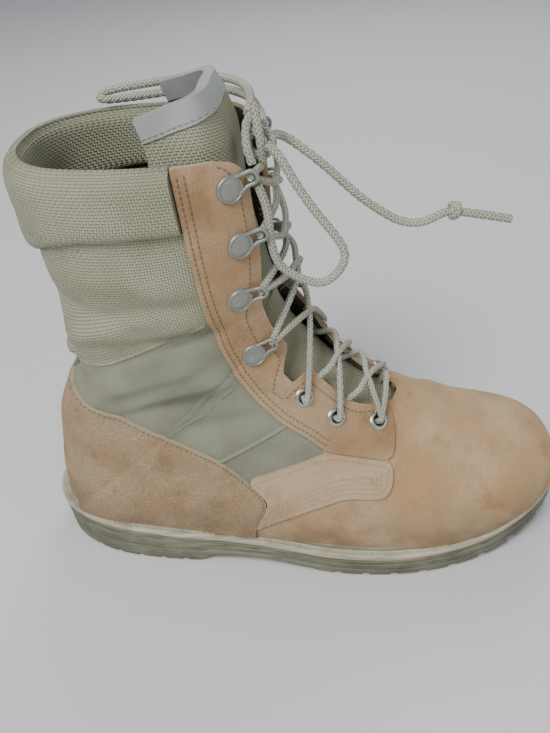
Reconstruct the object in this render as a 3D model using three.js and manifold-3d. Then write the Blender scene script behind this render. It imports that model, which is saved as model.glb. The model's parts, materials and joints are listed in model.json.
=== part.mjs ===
// A lace-up hot-weather combat boot for the right foot, standing empty on its sole.
//
// Millimetres, +X to the toe, +Z up, lateral side at -Y. Lengths along the foot are measured from the back
// of the outsole, and the group at the end moves the whole boot so that the origin lies on the floor under
// the middle of the heel.
//
// The upper is worked out as a last is: a fan of sections, each an arch that starts at the ridge or throat
// line and comes down both sides to the sole, or closes at the back seam. Every leather overlay is cut
// between two larger copies of that same form.
import * as THREE from "three";
import { mergeVertices } from "three/addons/utils/BufferGeometryUtils.js";
import Module from "manifold-3d";

const wasm = await Module();
wasm.setup();
const { Manifold, Mesh } = wasm;

// Driving sizes
const soleLength = 306;
const ballWidth = 110.5;
const heelWidth = 86;
const heelHeight = 28.6; // floor to the welt's top under the heel
const ballHeight = 18.3; // floor to the welt's top under the ball of the foot
const toeSpring = 14; // rise of the welt from the ball to the tip of the toe
const instepHeight = 97; // floor to the bottom of the throat
const ankleHeight = 191; // floor to the front of the ankle, where the shaft's sections lie level
const shaftRise = 50; // from there to the topline
const shaftDepth = 127; // front to back, at the topline
const shaftWidth = 90; // side to side, at the topline
const seam = 0.3; // gap left between pieces that touch
const wallThickness = 2.2;
const overlayThickness = 1.7;
const heelCentre = 45; // from the back of the outsole to the origin

// Sole stack
const weltThickness = 3.6;
const midsoleThickness = 3.4;
const weltWidth = 7.5; // shows outside the upper
const weltHidden = 9; // carries the upper and the insole
const beadHeight = 1.8; // the rim of the welt that hides the leathers' lower edges
const archHeight = 5.5;
const toeBottomRise = 14.5;
const insoleThickness = 4;
const lugDepth = 3.2;
const grooveWidth = 4.2;
const lugPitch = 15.5;

// Throat and closure
const throatGap = 31; // half the gap at the topline
const throatDepth = 26; // how far below the ridge the cut runs
const hookReach = 12; // from a cap's middle to its loop's tip
const hookWire = 1.8;
const capRadius = 5.9;
const hookInset = 4.4; // a cap's middle outside the throat's edge
const eyeletInset = 6.5;
const eyeletRadius = 5.1;
const eyeletBore = 2.6;
const laceDiameter = 3.3;
const tongueThickness = 4;
const tongueWidth = 77;
const tongueRise = 44; // above the topline, at the front
const tongueSlope = 0.62;
const tonguePress = 19;
const bindingHeight = 10;
const bindingLip = 0.7;
const tongueReach = 54; // how far round the shin it wraps
const tongueStart = 6.25; // the section where it leaves the throat's foot
const laceLift = 7.4; // the lace's middle above the upper
const backstayHalf = 8;
const spineWidth = 26; // uncut middle of the tread
const grooveTurn = 0.2; // radians
const cuffHeight = 55;
const cuffPadding = 4.2;

// Plain helpers

// The value at u of a smooth curve through [u, value] pairs, with straight ends.
function smoothAt(stations, u) {
  const last = stations.length - 1;
  if (u <= stations[0][0]) return stations[0][1];
  if (u >= stations[last][0]) return stations[last][1];
  let i = 0;
  while (u > stations[i + 1][0]) i++;
  const [u1, v1] = stations[i];
  const [u2, v2] = stations[i + 1];
  const slope = (a, b) => (b[1] - a[1]) / (b[0] - a[0]);
  const here = slope(stations[i], stations[i + 1]);
  const before = i > 0 ? slope(stations[i - 1], stations[i]) : here;
  const after = i + 2 <= last ? slope(stations[i + 1], stations[i + 2]) : here;
  const m1 = i > 0 ? flatter(before, here) : here;
  const m2 = i + 2 <= last ? flatter(here, after) : here;
  const h = u2 - u1;
  const t = (u - u1) / h;
  return (
    v1 * (1 + 2 * t) * (1 - t) ** 2 +
    h * m1 * t * (1 - t) ** 2 +
    v2 * t * t * (3 - 2 * t) +
    h * m2 * t * t * (t - 1)
  );
}

// The mean of two slopes where they agree in sign, and level where they don't, so no curve overshoots.
function flatter(a, b) {
  return a * b <= 0 ? 0 : (2 * a * b) / (a + b);
}

function solidFrom(points, faces) {
  const geometry = new THREE.BufferGeometry();
  geometry.setAttribute("position", new THREE.Float32BufferAttribute(points.flat(), 3));
  geometry.setIndex(faces.flat());
  return solidOf(geometry);
}

function solidOf(source) {
  const bare = source.index ? source.toNonIndexed() : source.clone();
  const stripped = new THREE.BufferGeometry();
  stripped.setAttribute("position", bare.getAttribute("position"));
  const merged = mergeVertices(stripped, 1e-3);
  const index = [];
  for (let i = 0; i < merged.index.count; i += 3) {
    const [a, b, c] = [0, 1, 2].map((k) => merged.index.getX(i + k));
    if (a !== b && b !== c && c !== a) index.push(a, b, c);
  }
  return new Manifold(
    new Mesh({
      numProp: 3,
      vertProperties: new Float32Array(merged.attributes.position.array),
      triVerts: new Uint32Array(index),
    }),
  );
}

function geometryOf(solid) {
  const mesh = solid.getMesh();
  const geometry = new THREE.BufferGeometry();
  geometry.setAttribute("position", new THREE.Float32BufferAttribute(mesh.vertProperties, 3));
  geometry.setIndex(Array.from(mesh.triVerts));
  return geometry;
}

// A closed tube of loops, each a list of points that go round the same way, capped at both ends.
function loftLoops(loops) {
  const n = loops[0].length;
  const points = loops.flat();
  const faces = [];
  for (let i = 0; i + 1 < loops.length; i++) {
    for (let j = 0; j < n; j++) {
      const k = (j + 1) % n;
      const [a, b, c, d] = [i * n + j, i * n + k, (i + 1) * n + k, (i + 1) * n + j];
      faces.push([a, b, c], [a, c, d]);
    }
  }
  const end = (loops.length - 1) * n;
  for (let j = 0; j < n / 2 - 1; j++) {
    // each cap is a strip of quads between the two halves of the loop
    const [a, b, c, d] = [j, j + 1, n - 2 - j, n - 1 - j];
    faces.push([a, c, b], [a, d, c]);
    faces.push([end + a, end + b, end + c], [end + a, end + c, end + d]);
  }
  const made = solidFrom(points, faces);
  return made.volume() < 0 ? solidFrom(points, faces.map(([a, b, c]) => [a, c, b])) : made;
}

// A prism through the whole boot over an outline in the side view, from y0 to y1.
function sidePrism(outline, y0, y1) {
  const shape = new THREE.Shape(outline.map(([x, z]) => new THREE.Vector2(x, z)));
  const prism = new THREE.ExtrudeGeometry(shape, { depth: y1 - y0, bevelEnabled: false, curveSegments: 6 });
  prism.rotateX(Math.PI / 2);
  prism.translate(0, y1, 0);
  return solidOf(prism);
}

// The sole's outline and heights

// Shares of the sole's length from the back, and of the half width there, on the two sides.
// The heel's rows follow the heel's width, and the rest follow the ball's.
const soleOutline = [
  { along: 0.0, lateral: -0.03, medial: 0.03, of: "heel" },
  { along: 0.012, lateral: 0.3, medial: 0.3, of: "heel" },
  { along: 0.045, lateral: 0.62, medial: 0.58, of: "heel" },
  { along: 0.1, lateral: 0.86, medial: 0.79, of: "heel" },
  { along: 0.165, lateral: 1.0, medial: 0.89, of: "heel" },
  { along: 0.26, lateral: 1.08, medial: 0.87, of: "heel" },
  { along: 0.36, lateral: 0.86, medial: 0.62, of: "ball" },
  { along: 0.46, lateral: 0.915, medial: 0.64, of: "ball" },
  { along: 0.555, lateral: 0.995, medial: 0.75, of: "ball" },
  { along: 0.64, lateral: 1.02, medial: 0.9, of: "ball" },
  { along: 0.72, lateral: 0.985, medial: 0.97, of: "ball" },
  { along: 0.8, lateral: 0.875, medial: 0.97, of: "ball" },
  { along: 0.875, lateral: 0.7, medial: 0.88, of: "ball" },
  { along: 0.94, lateral: 0.44, medial: 0.67, of: "ball" },
  { along: 0.98, lateral: 0.17, medial: 0.42, of: "ball" },
  { along: 1.0, lateral: -0.09, medial: 0.13, of: "ball" },
];
const stations = 24;

function halfWidth(row, side) {
  return (row[side] * (row.of === "heel" ? heelWidth : ballWidth)) / 2;
}

// One side of the outline as points, heel to toe, moved inwards by an inset.
function outlineSide(side, inset) {
  const sign = side === "lateral" ? -1 : 1;
  const knots = soleOutline.map((row) => new THREE.Vector2(row.along * soleLength, sign * halfWidth(row, side)));
  const curve = new THREE.SplineCurve(knots);
  const points = [];
  for (let i = 0; i <= stations; i++) {
    const u = i / stations;
    const p = curve.getPointAt(u);
    const t = curve.getTangentAt(u);
    const inwards = new THREE.Vector2(-t.y, t.x).multiplyScalar(side === "lateral" ? 1 : -1);
    points.push([
      Math.min(Math.max(p.x + inwards.x * inset, inset), soleLength - inset),
      p.y + inwards.y * inset,
    ]);
  }
  return points;
}

// The floor-to-welt height along the foot: heel, waist, ball and toe spring.
function weltTop(x) {
  const heel = heelHeight;
  const ball = ballHeight;
  return smoothAt(
    [
      [0, heel + 0.08 * toeSpring],
      [0.16 * soleLength, heel],
      [0.3 * soleLength, ball + 0.7 * (heel - ball)],
      [0.43 * soleLength, ball + 0.35 * (heel - ball)],
      [0.56 * soleLength, ball + 0.05 * (heel - ball)],
      [0.68 * soleLength, ball],
      [0.82 * soleLength, ball + 0.18 * toeSpring],
      [0.915 * soleLength, ball + 0.52 * toeSpring],
      [soleLength, ball + toeSpring],
    ],
    x,
  );
}

// The underside: flat under heel and ball, raised at the arch and the toe, and bevelled behind the heel.
function treadBottom(x) {
  return smoothAt(
    [
      [0, 3],
      [0.035 * soleLength, 0.8],
      [0.06 * soleLength, 0],
      [0.3 * soleLength, 0],
      [0.325 * soleLength, 0.8 * archHeight],
      [0.4 * soleLength, archHeight],
      [0.5 * soleLength, 0.4 * archHeight],
      [0.56 * soleLength, 0],
      [0.76 * soleLength, 0],
      [0.88 * soleLength, 0.27 * toeBottomRise],
      [soleLength, toeBottomRise],
    ],
    x,
  );
}

// A closed ring round the sole at an inset, with its height given by the place along the foot.
function soleLoop(inset, heightAt) {
  const lateral = outlineSide("lateral", inset);
  const medial = outlineSide("medial", inset).reverse();
  return [...lateral, ...medial].map(([x, y]) => [x, y, heightAt(x)]);
}

// A slab of the sole's outline between levels, each an inset and a height along the foot.
function soleSlab(levels) {
  return loftLoops(levels.map(([inset, heightAt]) => soleLoop(inset, heightAt)));
}

// The last: the upper's own form

// One row a section, from the toe to just over the topline. Places are shares: of the sole's length for
// topX and bottomX up to the heel, and of the shaft's depth, from its front, for the back seam. topZ is a
// share of the instep's height, then of the rise to the ankle ("ankle") and to the topline ("shaft").
// lateral and medial are the widest half widths, in shares of half the ball's or the shaft's width, and
// down is how far down the section they lie. round is how square the arch's shoulders are.
const footRows = [
  { topX: 0.981, topZ: 0.36, bottomX: 0.972, lateral: 0.1, medial: 0.24, down: 0.6, round: 2.0, ridge: 0.09 },
  { topX: 0.98, topZ: 0.48, bottomX: 0.955, lateral: 0.29, medial: 0.42, down: 0.62, round: 2.1, ridge: 0.1 },
  { topX: 0.965, topZ: 0.59, bottomX: 0.925, lateral: 0.47, medial: 0.57, down: 0.66, round: 2.2, ridge: 0.1 },
  { topX: 0.94, topZ: 0.67, bottomX: 0.885, lateral: 0.62, medial: 0.7, down: 0.7, round: 2.25, ridge: 0.1 },
  { topX: 0.9, topZ: 0.73, bottomX: 0.835, lateral: 0.76, medial: 0.81, down: 0.74, round: 2.25, ridge: 0.09 },
  { topX: 0.84, topZ: 0.78, bottomX: 0.765, lateral: 0.87, medial: 0.88, down: 0.78, round: 2.2, ridge: 0.09 },
  { topX: 0.765, topZ: 0.865, bottomX: 0.69, lateral: 0.92, medial: 0.87, down: 0.8, round: 2.1, ridge: 0.1 },
  { topX: 0.68, topZ: 0.985, bottomX: 0.61, lateral: 0.915, medial: 0.79, down: 0.82, round: 2.05, ridge: 0.1 },
  { topX: 0.607, topZ: 1.14, bottomX: 0.52, lateral: 0.875, medial: 0.7, down: 0.84, round: 2.05, ridge: 0.09 },
];
const ankleRows = [
  { topX: 0.562, rise: 0.31, bottomX: 0.41, lateral: 0.83, medial: 0.66, down: 0.8, round: 2.15, ridge: 0.06 },
  { topX: 0.538, rise: 0.45, bottomX: 0.3, lateral: 0.79, medial: 0.65, down: 0.74, round: 2.2, ridge: 0.04 },
  { topX: 0.524, rise: 0.55, bottomX: 0.195, lateral: 0.755, medial: 0.65, down: 0.66, round: 2.25, ridge: 0.02 },
  { topX: 0.516, rise: 0.63, bottomX: 0.105, lateral: 0.74, medial: 0.655, down: 0.6, round: 2.25, ridge: 0.0 },
  { topX: 0.511, rise: 0.7, bottomX: 0.045, lateral: 0.73, medial: 0.66, down: 0.56, round: 2.3, ridge: -0.01 },
];
// backX is from the shaft's front in shares of its depth, and backZ in shares of the rise to the ankle's front.
const heelRows = [
  { frontX: 1.0, frontZ: 0.765, backX: 1.16, backZ: 0.115, lateral: 0.86, medial: 0.82, down: 0.53, round: 2.3 },
  { frontX: 0.994, frontZ: 0.81, backX: 1.162, backZ: 0.24, lateral: 0.86, medial: 0.82, down: 0.5, round: 2.3 },
  { frontX: 0.989, frontZ: 0.85, backX: 1.135, backZ: 0.37, lateral: 0.87, medial: 0.83, down: 0.5, round: 2.3 },
  { frontX: 0.985, frontZ: 0.885, backX: 1.09, backZ: 0.5, lateral: 0.88, medial: 0.84, down: 0.5, round: 2.3 },
  { frontX: 0.98, frontZ: 0.92, backX: 0.995, backZ: 0.625, lateral: 0.9, medial: 0.86, down: 0.5, round: 2.3 },
  { frontX: 0.976, frontZ: 0.955, backX: 0.95, backZ: 0.745, lateral: 0.93, medial: 0.89, down: 0.5, round: 2.3 },
  { frontX: 0.971, frontZ: 1.0, backX: 0.945, backZ: 0.865, lateral: 0.96, medial: 0.92, down: 0.5, round: 2.3 },
];
// Level sections of the shaft. rise is in shares of the shaft's rise.
const shaftRows = [
  { front: 0.967, rise: 0.14, back: 0.95, backRise: -0.1, lateral: 0.985, medial: 0.945 },
  { front: 0.963, rise: 0.34, back: 0.955, backRise: 0.22, lateral: 1.0, medial: 0.96 },
  { front: 0.959, rise: 0.58, back: 0.96, backRise: 0.54, lateral: 1.0, medial: 0.965 },
  { front: 0.955, rise: 0.82, back: 0.965, backRise: 0.8, lateral: 0.99, medial: 0.96 },
  { front: 0.951, rise: 1.04, back: 0.96, backRise: 1.03, lateral: 0.97, medial: 0.94 },
  { front: 0.925, rise: 1.3, back: 0.95, backRise: 1.3, lateral: 0.93, medial: 0.91 },
  { front: 0.86, rise: 1.65, back: 0.95, backRise: 1.65, lateral: 0.89, medial: 0.87 },
  { front: 0.78, rise: 2.0, back: 0.95, backRise: 2.0, lateral: 0.84, medial: 0.83 },
];
const buried = 8; // how far the form runs on under the welt's top, to be trimmed there
const frontOfShaft = 0.516 * soleLength; // where the ankle's front stands along the foot

function sectionTable() {
  const half = ballWidth / 2;
  const leg = shaftWidth / 2;
  const rows = [];
  const open = (row, topZ) => {
    const x = row.bottomX * soleLength;
    const inset = weltWidth;
    rows.push({
      top: [row.topX * soleLength, topZ],
      bottom: [x, weltTop(x) - buried],
      lateral: row.lateral * half,
      medial: row.medial * half,
      footLateral: -featherAt("lateral", x, inset),
      footMedial: featherAt("medial", x, inset),
      down: row.down,
      round: row.round,
      ridge: row.ridge * half,
    });
  };
  for (const row of footRows) open(row, row.topZ * instepHeight);
  for (const row of ankleRows) open(row, instepHeight + row.rise * (ankleHeight - instepHeight));
  for (const row of heelRows) {
    rows.push({
      top: [frontOfShaft - (1 - row.frontX) * shaftDepth, instepHeight + row.frontZ * (ankleHeight - instepHeight)],
      bottom: [frontOfShaft - row.backX * shaftDepth, row.backZ * ankleHeight],
      lateral: row.lateral * leg,
      medial: row.medial * leg,
      footLateral: 0,
      footMedial: 0,
      down: row.down,
      round: row.round,
      ridge: 0,
    });
  }
  for (const row of shaftRows) {
    rows.push({
      top: [frontOfShaft - (1 - row.front) * shaftDepth, ankleHeight + row.rise * shaftRise],
      bottom: [frontOfShaft - row.back * shaftDepth, ankleHeight + row.backRise * shaftRise],
      lateral: row.lateral * leg,
      medial: row.medial * leg,
      footLateral: 0,
      footMedial: 0,
      down: 0.5,
      round: 2.3,
      ridge: 0,
    });
  }
  return rows;
}

// The upper's half width at the welt, at a place along the foot.
function featherAt(side, x, inset) {
  const points = outlineSide(side, inset);
  let i = 0;
  while (i + 2 < points.length && points[i + 1][0] < x) i++;
  const [x0, y0] = points[i];
  const [x1, y1] = points[i + 1];
  const t = x1 === x0 ? 0 : Math.min(1, Math.max(0, (x - x0) / (x1 - x0)));
  return y0 + (y1 - y0) * t;
}

const sections = sectionTable();
const lastRow = sections.length - 1;

// A section at any place s from 0 at the toe to lastRow above the topline, between the table's rows.
function sectionAt(s) {
  const pick = (read) => smoothAt(sections.map((row, i) => [i, read(row)]), s);
  return {
    top: [pick((r) => r.top[0]), pick((r) => r.top[1])],
    bottom: [pick((r) => r.bottom[0]), pick((r) => r.bottom[1])],
    lateral: pick((r) => r.lateral),
    medial: pick((r) => r.medial),
    footLateral: pick((r) => r.footLateral),
    footMedial: pick((r) => r.footMedial),
    down: pick((r) => r.down),
    round: pick((r) => r.round),
    ridge: pick((r) => r.ridge),
  };
}

// A point of a section. q runs from 0 at the ridge to 1 at the widest place and 2 at the foot of the wall.
function sectionPoint(section, side, q) {
  const [x0, z0] = section.top;
  const [x1, z1] = section.bottom;
  const wide = side < 0 ? section.lateral : section.medial;
  const foot = Math.min(side < 0 ? section.footLateral : section.footMedial, wide);
  let depth;
  let out;
  if (q <= 1) {
    const angle = (q * Math.PI) / 2;
    depth = section.down * (1 - Math.cos(angle) ** (2 / section.round));
    out = section.ridge * side + (wide - section.ridge * side) * Math.sin(angle) ** (2 / section.round);
  } else {
    const angle = ((q - 1) * Math.PI) / 2;
    depth = section.down + (1 - section.down) * Math.sin(angle) ** (2 / 2.4);
    out = foot + (wide - foot) * Math.cos(angle) ** (2 / 2.4);
  }
  return new THREE.Vector3(x0 + (x1 - x0) * depth, side * out, z0 + (z1 - z0) * depth);
}

const surface = (s, side, q) => sectionPoint(sectionAt(s), side, q);

// The outward normal, from two short steps on the surface.
function normalAt(s, side, q) {
  const ds = 0.02;
  const dq = 0.01;
  const [sLow, sHigh] = [Math.max(s - ds, 0), Math.min(s + ds, lastRow)];
  const [qLow, qHigh] = [q - dq, q + dq];
  const along = surface(sHigh, side, q).sub(surface(sLow, side, q));
  const low = qLow < 0 ? surface(s, -side, -qLow) : surface(s, side, qLow);
  const high = qHigh > 2 ? surface(s, side, q) : surface(s, side, qHigh);
  const down = high.sub(low);
  const normal = along.cross(down).multiplyScalar(-side);
  return normal.lengthSq() < 1e-12 ? new THREE.Vector3(0, 0, 1) : normal.normalize();
}


const sideSteps = 8;
const rowSteps = 28;

// A stretch of the form as a solid, grown outwards by grow(point), a length in millimetres.
function form(grow, from = 0, to = lastRow, rows = rowSteps) {
  const loops = [];
  for (let i = 0; i <= rows; i++) {
    const s = from + (i / rows) * (to - from);
    const section = sectionAt(s);
    const half = (side) => {
      const points = [];
      for (let j = 0; j <= sideSteps; j++) {
        const q = (2 * j) / sideSteps;
        const p = sectionPoint(section, side, q);
        points.push(p.addScaledVector(normalAt(s, side, Math.min(q, 1.98)), grow(p)).toArray());
      }
      return points;
    };
    const lateral = half(-1);
    const medial = half(1);
    loops.push([...lateral, ...medial.reverse()]);
  }
  return loftLoops(loops);
}

// The place on the form at a distance out from the middle plane, in the section at s.
function pointOut(s, y) {
  const side = y < 0 ? -1 : 1;
  const section = sectionAt(s);
  const wide = side < 0 ? section.lateral : section.medial;
  const ridge = section.ridge * side;
  const share = Math.min(Math.max((Math.abs(y) - ridge) / (wide - ridge), 0), 1);
  const q = (Math.asin(share ** (section.round / 2)) * 2) / Math.PI;
  return { point: sectionPoint(section, side, q), normal: normalAt(s, side, Math.max(q, 0.02)) };
}

// The section whose ridge stands at a height.
function sectionAtHeight(z) {
  let [low, high] = [6, lastRow];
  for (let i = 0; i < 24; i++) {
    const middle = (low + high) / 2;
    if (sectionAt(middle).top[1] < z) low = middle;
    else high = middle;
  }
  return low;
}

// A slice of the boot between two distances out, sunk by depth below the ridge line.
function band(from, to, rows, depth, lateralAt, medialAt) {
  const loops = [];
  for (let i = 0; i <= rows; i++) {
    const s = from + (i / rows) * (to - from);
    const { top, bottom } = sectionAt(s);
    const length = Math.hypot(bottom[0] - top[0], bottom[1] - top[1]);
    const along = [(bottom[0] - top[0]) / length, (bottom[1] - top[1]) / length];
    const corner = (y, d) => [top[0] + along[0] * d, y, top[1] + along[1] * d];
    const [left, right] = [-lateralAt(s), medialAt(s)];
    const over = -0.35 * shaftDepth;
    loops.push([corner(left, over), corner(left, depth), corner(right, depth), corner(right, over)]);
  }
  return loftLoops(loops);
}

// Half the throat's gap on each side, by section, in shares of the gap at the topline.
const throatLateral = [
  [6.7, 0.3],
  [7.1, 0.6],
  [8, 0.7],
  [9.7, 0.72],
  [10.1, 0.93],
  [10.6, 0.93],
  [11.2, 0.76],
  [14, 0.86],
  [20, 1],
  [28, 1],
];
const throatMedial = [
  [6.7, 0.04],
  [7.1, 0.1],
  [8, 0.12],
  [9.1, 0.2],
  [11, 0.42],
  [14, 0.7],
  [20, 0.92],
  [28, 1],
];
const throatStart = 6.7;
const gapLateral = (s) => smoothAt(throatLateral, s) * throatGap;
const gapMedial = (s) => smoothAt(throatMedial, s) * throatGap;

// The whole of space under a height that runs along the foot.
function under(heightAt) {
  const outline = [[-60, -60]];
  for (let i = 0; i <= 26; i++) {
    const x = (i / 26) * soleLength;
    if (i === 0) outline.push([-60, heightAt(x)]);
    outline.push([x, heightAt(x)]);
  }
  outline.push([soleLength + 60, heightAt(soleLength)], [soleLength + 60, -60]);
  return sidePrism(outline, -150, 150);
}

// Side-view outlines of the leathers, in shares of the sole's length and of the ankle's height.
const scaled = (outline) => outline.map(([along, high]) => [along * soleLength, high * ankleHeight]);
const counterOutline = scaled([
  [-0.1, 0.645],
  [0.08, 0.64],
  [0.14, 0.62],
  [0.19, 0.585],
  [0.255, 0.52],
  [0.315, 0.475],
  [0.37, 0.42],
  [0.412, 0.352],
  [0.45, 0.275],
  [0.415, 0.155],
  [0.415, -0.2],
  [-0.1, -0.2],
]);
const eyestayOutline = scaled([
  [0.362, 1.5],
  [0.37, 1.24],
  [0.376, 1.1],
  [0.382, 0.945],
  [0.395, 0.79],
  [0.415, 0.69],
  [0.44, 0.62],
  [0.48, 0.54],
  [0.523, 0.487],
  [0.556, 0.435],
  [0.668, 0.392],
  [0.674, 0.46],
  [0.655, 0.55],
  [0.66, 1.5],
]);
const saddleOutline = scaled([
  [0.415, 0.155],
  [0.45, 0.275],
  [0.412, 0.355],
  [0.49, 0.4],
  [0.552, 0.432],
  [0.668, 0.388],
  [0.667, 0.33],
  [0.654, 0.293],
  [0.585, 0.298],
  [0.516, 0.25],
  [0.445, 0.19],
]);
const cuffSeamLine = scaled([
  [-0.1, 0.955],
  [0.1, 1.02],
  [0.16, 1.075],
  [0.22, 1.108],
  [0.3, 1.118],
  [0.42, 1.13],
]);
const topline = ankleHeight + shaftRise;

// An outline moved outwards, so that the neighbour cut by it keeps the seam.
function grown(outline, by) {
  const n = outline.length;
  let area = 0;
  outline.forEach(([x, z], i) => {
    const [x2, z2] = outline[(i + 1) % n];
    area += x * z2 - x2 * z;
  });
  const turn = area > 0 ? 1 : -1;
  return outline.map(([x, z], i) => {
    const [xa, za] = outline[(i + n - 1) % n];
    const [xb, zb] = outline[(i + 1) % n];
    const a = new THREE.Vector2(x - xa, z - za).normalize();
    const b = new THREE.Vector2(xb - x, zb - z).normalize();
    const out = new THREE.Vector2(a.y + b.y, -a.x - b.x).normalize();
    const reach = by / Math.max(out.dot(new THREE.Vector2(a.y, -a.x)), 0.5);
    return [x + out.x * reach * turn, z + out.y * reach * turn];
  });
}

const far = 150;
const sides = { lateral: [-far, -1], medial: [1, far] };
const onSide = (outline, side) => sidePrism(outline, ...sides[side]);
const across = (outline) => sidePrism(outline, -far, far);

// Sole

const upperSeat = (x) => weltTop(x) + seam;
const weltBase = (x) => weltTop(x) - weltThickness;
const midsoleBase = (x) => weltBase(x) - midsoleThickness;

function outsole() {
  const share = (part) => (x) => treadBottom(x) + part * (midsoleBase(x) - seam - treadBottom(x));
  const body = soleSlab([
    [3.2, share(0)],
    [1.6, share(0.12)],
    [1.2, share(0.45)],
    [2.2, share(0.5)],
    [2.2, share(0.58)],
    [1.0, share(0.64)],
    [0.8, share(1)],
  ]);
  let cut = body;
  const zones = [
    { from: 0.02 * soleLength, to: 0.3 * soleLength },
    { from: 0.55 * soleLength, to: 0.97 * soleLength },
  ];
  for (const { from, to } of zones) {
    const count = Math.round((to - from) / lugPitch);
    for (let i = 0; i <= count; i++) {
      const x = from + (i / count) * (to - from);
      for (const side of [-1, 1]) {
        const groove = new THREE.BoxGeometry(grooveWidth, ballWidth, 2 * lugDepth);
        groove.translate(0, side * (ballWidth / 2 + spineWidth / 2), 0);
        groove.rotateZ(side * grooveTurn);
        groove.translate(x, 0, treadBottom(x));
        cut = cut.subtract(solidOf(groove));
      }
    }
  }
  return cut;
}

function midsole() {
  return soleSlab([
    [1.0, midsoleBase],
    [0.9, (x) => weltBase(x) - seam],
  ]);
}

function welt() {
  const ring = soleSlab([
    [0.5, weltBase],
    [0, (x) => weltBase(x) + 0.35 * weltThickness],
    [0.4, weltTop],
  ]);
  const hole = soleSlab([
    [weltWidth + weltHidden, (x) => weltBase(x) - 5],
    [weltWidth + weltHidden, (x) => weltTop(x) + 5],
  ]);
  return ring.subtract(hole);
}

// The room inside the form, short of its toe by the same wall.
function inside(by) {
  const tip = sections[0].bottom[0] - by;
  const toeWall = sidePrism([[tip, -60], [tip + 60, -60], [tip + 60, topline], [tip, topline]], -far, far);
  return form(() => -by).subtract(toeWall);
}

function insole() {
  const slab = inside(wallThickness + 2 * seam)
    .intersect(under((x) => upperSeat(x) + insoleThickness))
    .subtract(under(upperSeat));
  return largest(slab);
}

// Upper

const outer = form(() => 0);
const throat = band(throatStart, lastRow, 24, throatDepth, gapLateral, gapMedial);
const sole = under(upperSeat);

// Behind the eyestays the fabric stops at the cuff's seam, and in front of that it runs to the topline.
function aboveFabric(lift) {
  const behind = eyestayOutline[2][0] + 4;
  const line = cuffSeamLine.filter(([x]) => x < behind).map(([x, z]) => [x, z + lift]);
  return [...line, [behind, line.at(-1)[1]], [behind, 2 * topline], [-60, 2 * topline]];
}

function eyeletHoles() {
  return placesOf("eyelet").map(({ point, normal }) => {
    const bore = new THREE.CylinderGeometry(eyeletBore + seam + 0.7, eyeletBore + seam + 0.7, 20, 8);
    return solidOf(placed(bore, point, normal, new THREE.Vector3(1, 0, 0), "y"));
  });
}

function upper() {
  const inner = inside(wallThickness);
  const top = sidePrism([[-60, topline], [400, topline], [400, 500], [-60, 500]], -far, far);
  let made = outer.subtract(inner).subtract(sole).subtract(throat).subtract(top);
  made = made.subtract(across(aboveFabric(0)));
  for (const hole of eyeletHoles()) made = made.subtract(hole);
  return largest(made);
}

function largest(solid) {
  return solid.decompose().reduce((a, b) => (a.volume() > b.volume() ? a : b));
}

const skinLow = form(() => seam);
const skin = form(() => seam + overlayThickness)
  .subtract(skinLow)
  .subtract(under((x) => weltTop(x) + beadHeight + seam));
const overlaySkin = form(() => 2 * seam + overlayThickness);
const topCut = sidePrism([[-60, topline + 1.5], [400, topline + 1.5], [400, 500], [-60, 500]], -far, far);

function counter() {
  return largest(skin.intersect(across(counterOutline)));
}

function eyestay(side) {
  let made = skin.intersect(onSide(eyestayOutline, side)).subtract(throat).subtract(topCut);
  for (const hole of eyeletHoles()) made = made.subtract(hole);
  return largest(made);
}

function saddle(side) {
  return largest(
    skin
      .intersect(onSide(saddleOutline, side))
      .subtract(onSide(grown(counterOutline, seam), side))
      .subtract(onSide(grown(eyestayOutline, seam), side)),
  );
}

function backstay() {
  const strip = form(() => seam + 0.7 * overlayThickness).subtract(skinLow);
  const half = new THREE.BoxGeometry(shaftDepth / 2, 2 * backstayHalf, 2 * topline);
  half.translate(frontOfShaft - shaftDepth, 0, 0);
  return largest(
    strip
      .intersect(solidOf(half))
      .intersect(under(() => cuffSeamLine[1][1] - 6))
      .subtract(across(grown(counterOutline, seam))),
  );
}

// The padded collar: both faces swell between its seam and the topline.
function cuff() {
  const low = (x) => smoothAt(cuffSeamLine, x);
  const swell = (p) => {
    const t = Math.min(Math.max((p.z - low(p.x)) / (topline - low(p.x)), 0), 1);
    return Math.sqrt(Math.max(4 * t * (1 - t), 0));
  };
  const outside = form((p) => 1 + cuffPadding * swell(p), 17, lastRow, 22);
  const inside = form((p) => -2 - 0.8 * cuffPadding * swell(p), 17, lastRow, 22);
  return largest(
    outside
      .subtract(inside)
      .intersect(across(aboveFabric(seam)))
      .subtract(across(grown(eyestayOutline, seam)))
      .subtract(topCut),
  );
}

// Tongue

const tongueOut = -(wallThickness + seam + 0.1);
const tongueEnd = lastRow - 0.1;

// With the throat slack the tongue falls back from the form, most in its middle and high up.
function press(p) {
  const across = Math.max(0, 1 - (p.y / throatGap) ** 2);
  const high = smoothAt(
    [
      [1.1 * instepHeight, 0],
      [0.7 * topline, 0.55],
      [0.9 * topline, 1],
      [2 * topline, 1],
    ],
    p.z,
  );
  const inCuff = smoothAt(
    [
      [topline - cuffHeight, 0],
      [topline - 0.6 * cuffHeight, 1],
    ],
    p.z,
  );
  const behindEyestay = smoothAt(
    [
      [frontOfShaft - 0.33 * shaftDepth, 1],
      [frontOfShaft - 0.24 * shaftDepth, 0],
    ],
    p.x,
  );
  const tuck = 1.2 * cuffPadding * inCuff * behindEyestay;
  return p.x > frontOfShaft - 0.5 * shaftDepth ? tonguePress * across * high + tuck : tuck;
}
const tongueHalf = (s) =>
  smoothAt(
    [
      [6.2, 0.5],
      [9, 0.6],
      [13, 0.85],
      [17, 1],
      [22, 1],
      [28, 0.86],
    ],
    s,
  ) *
  (tongueWidth / 2);

function tongueBand(from, to, rows) {
  return band(from, to, rows, tongueReach, tongueHalf, tongueHalf);
}

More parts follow.
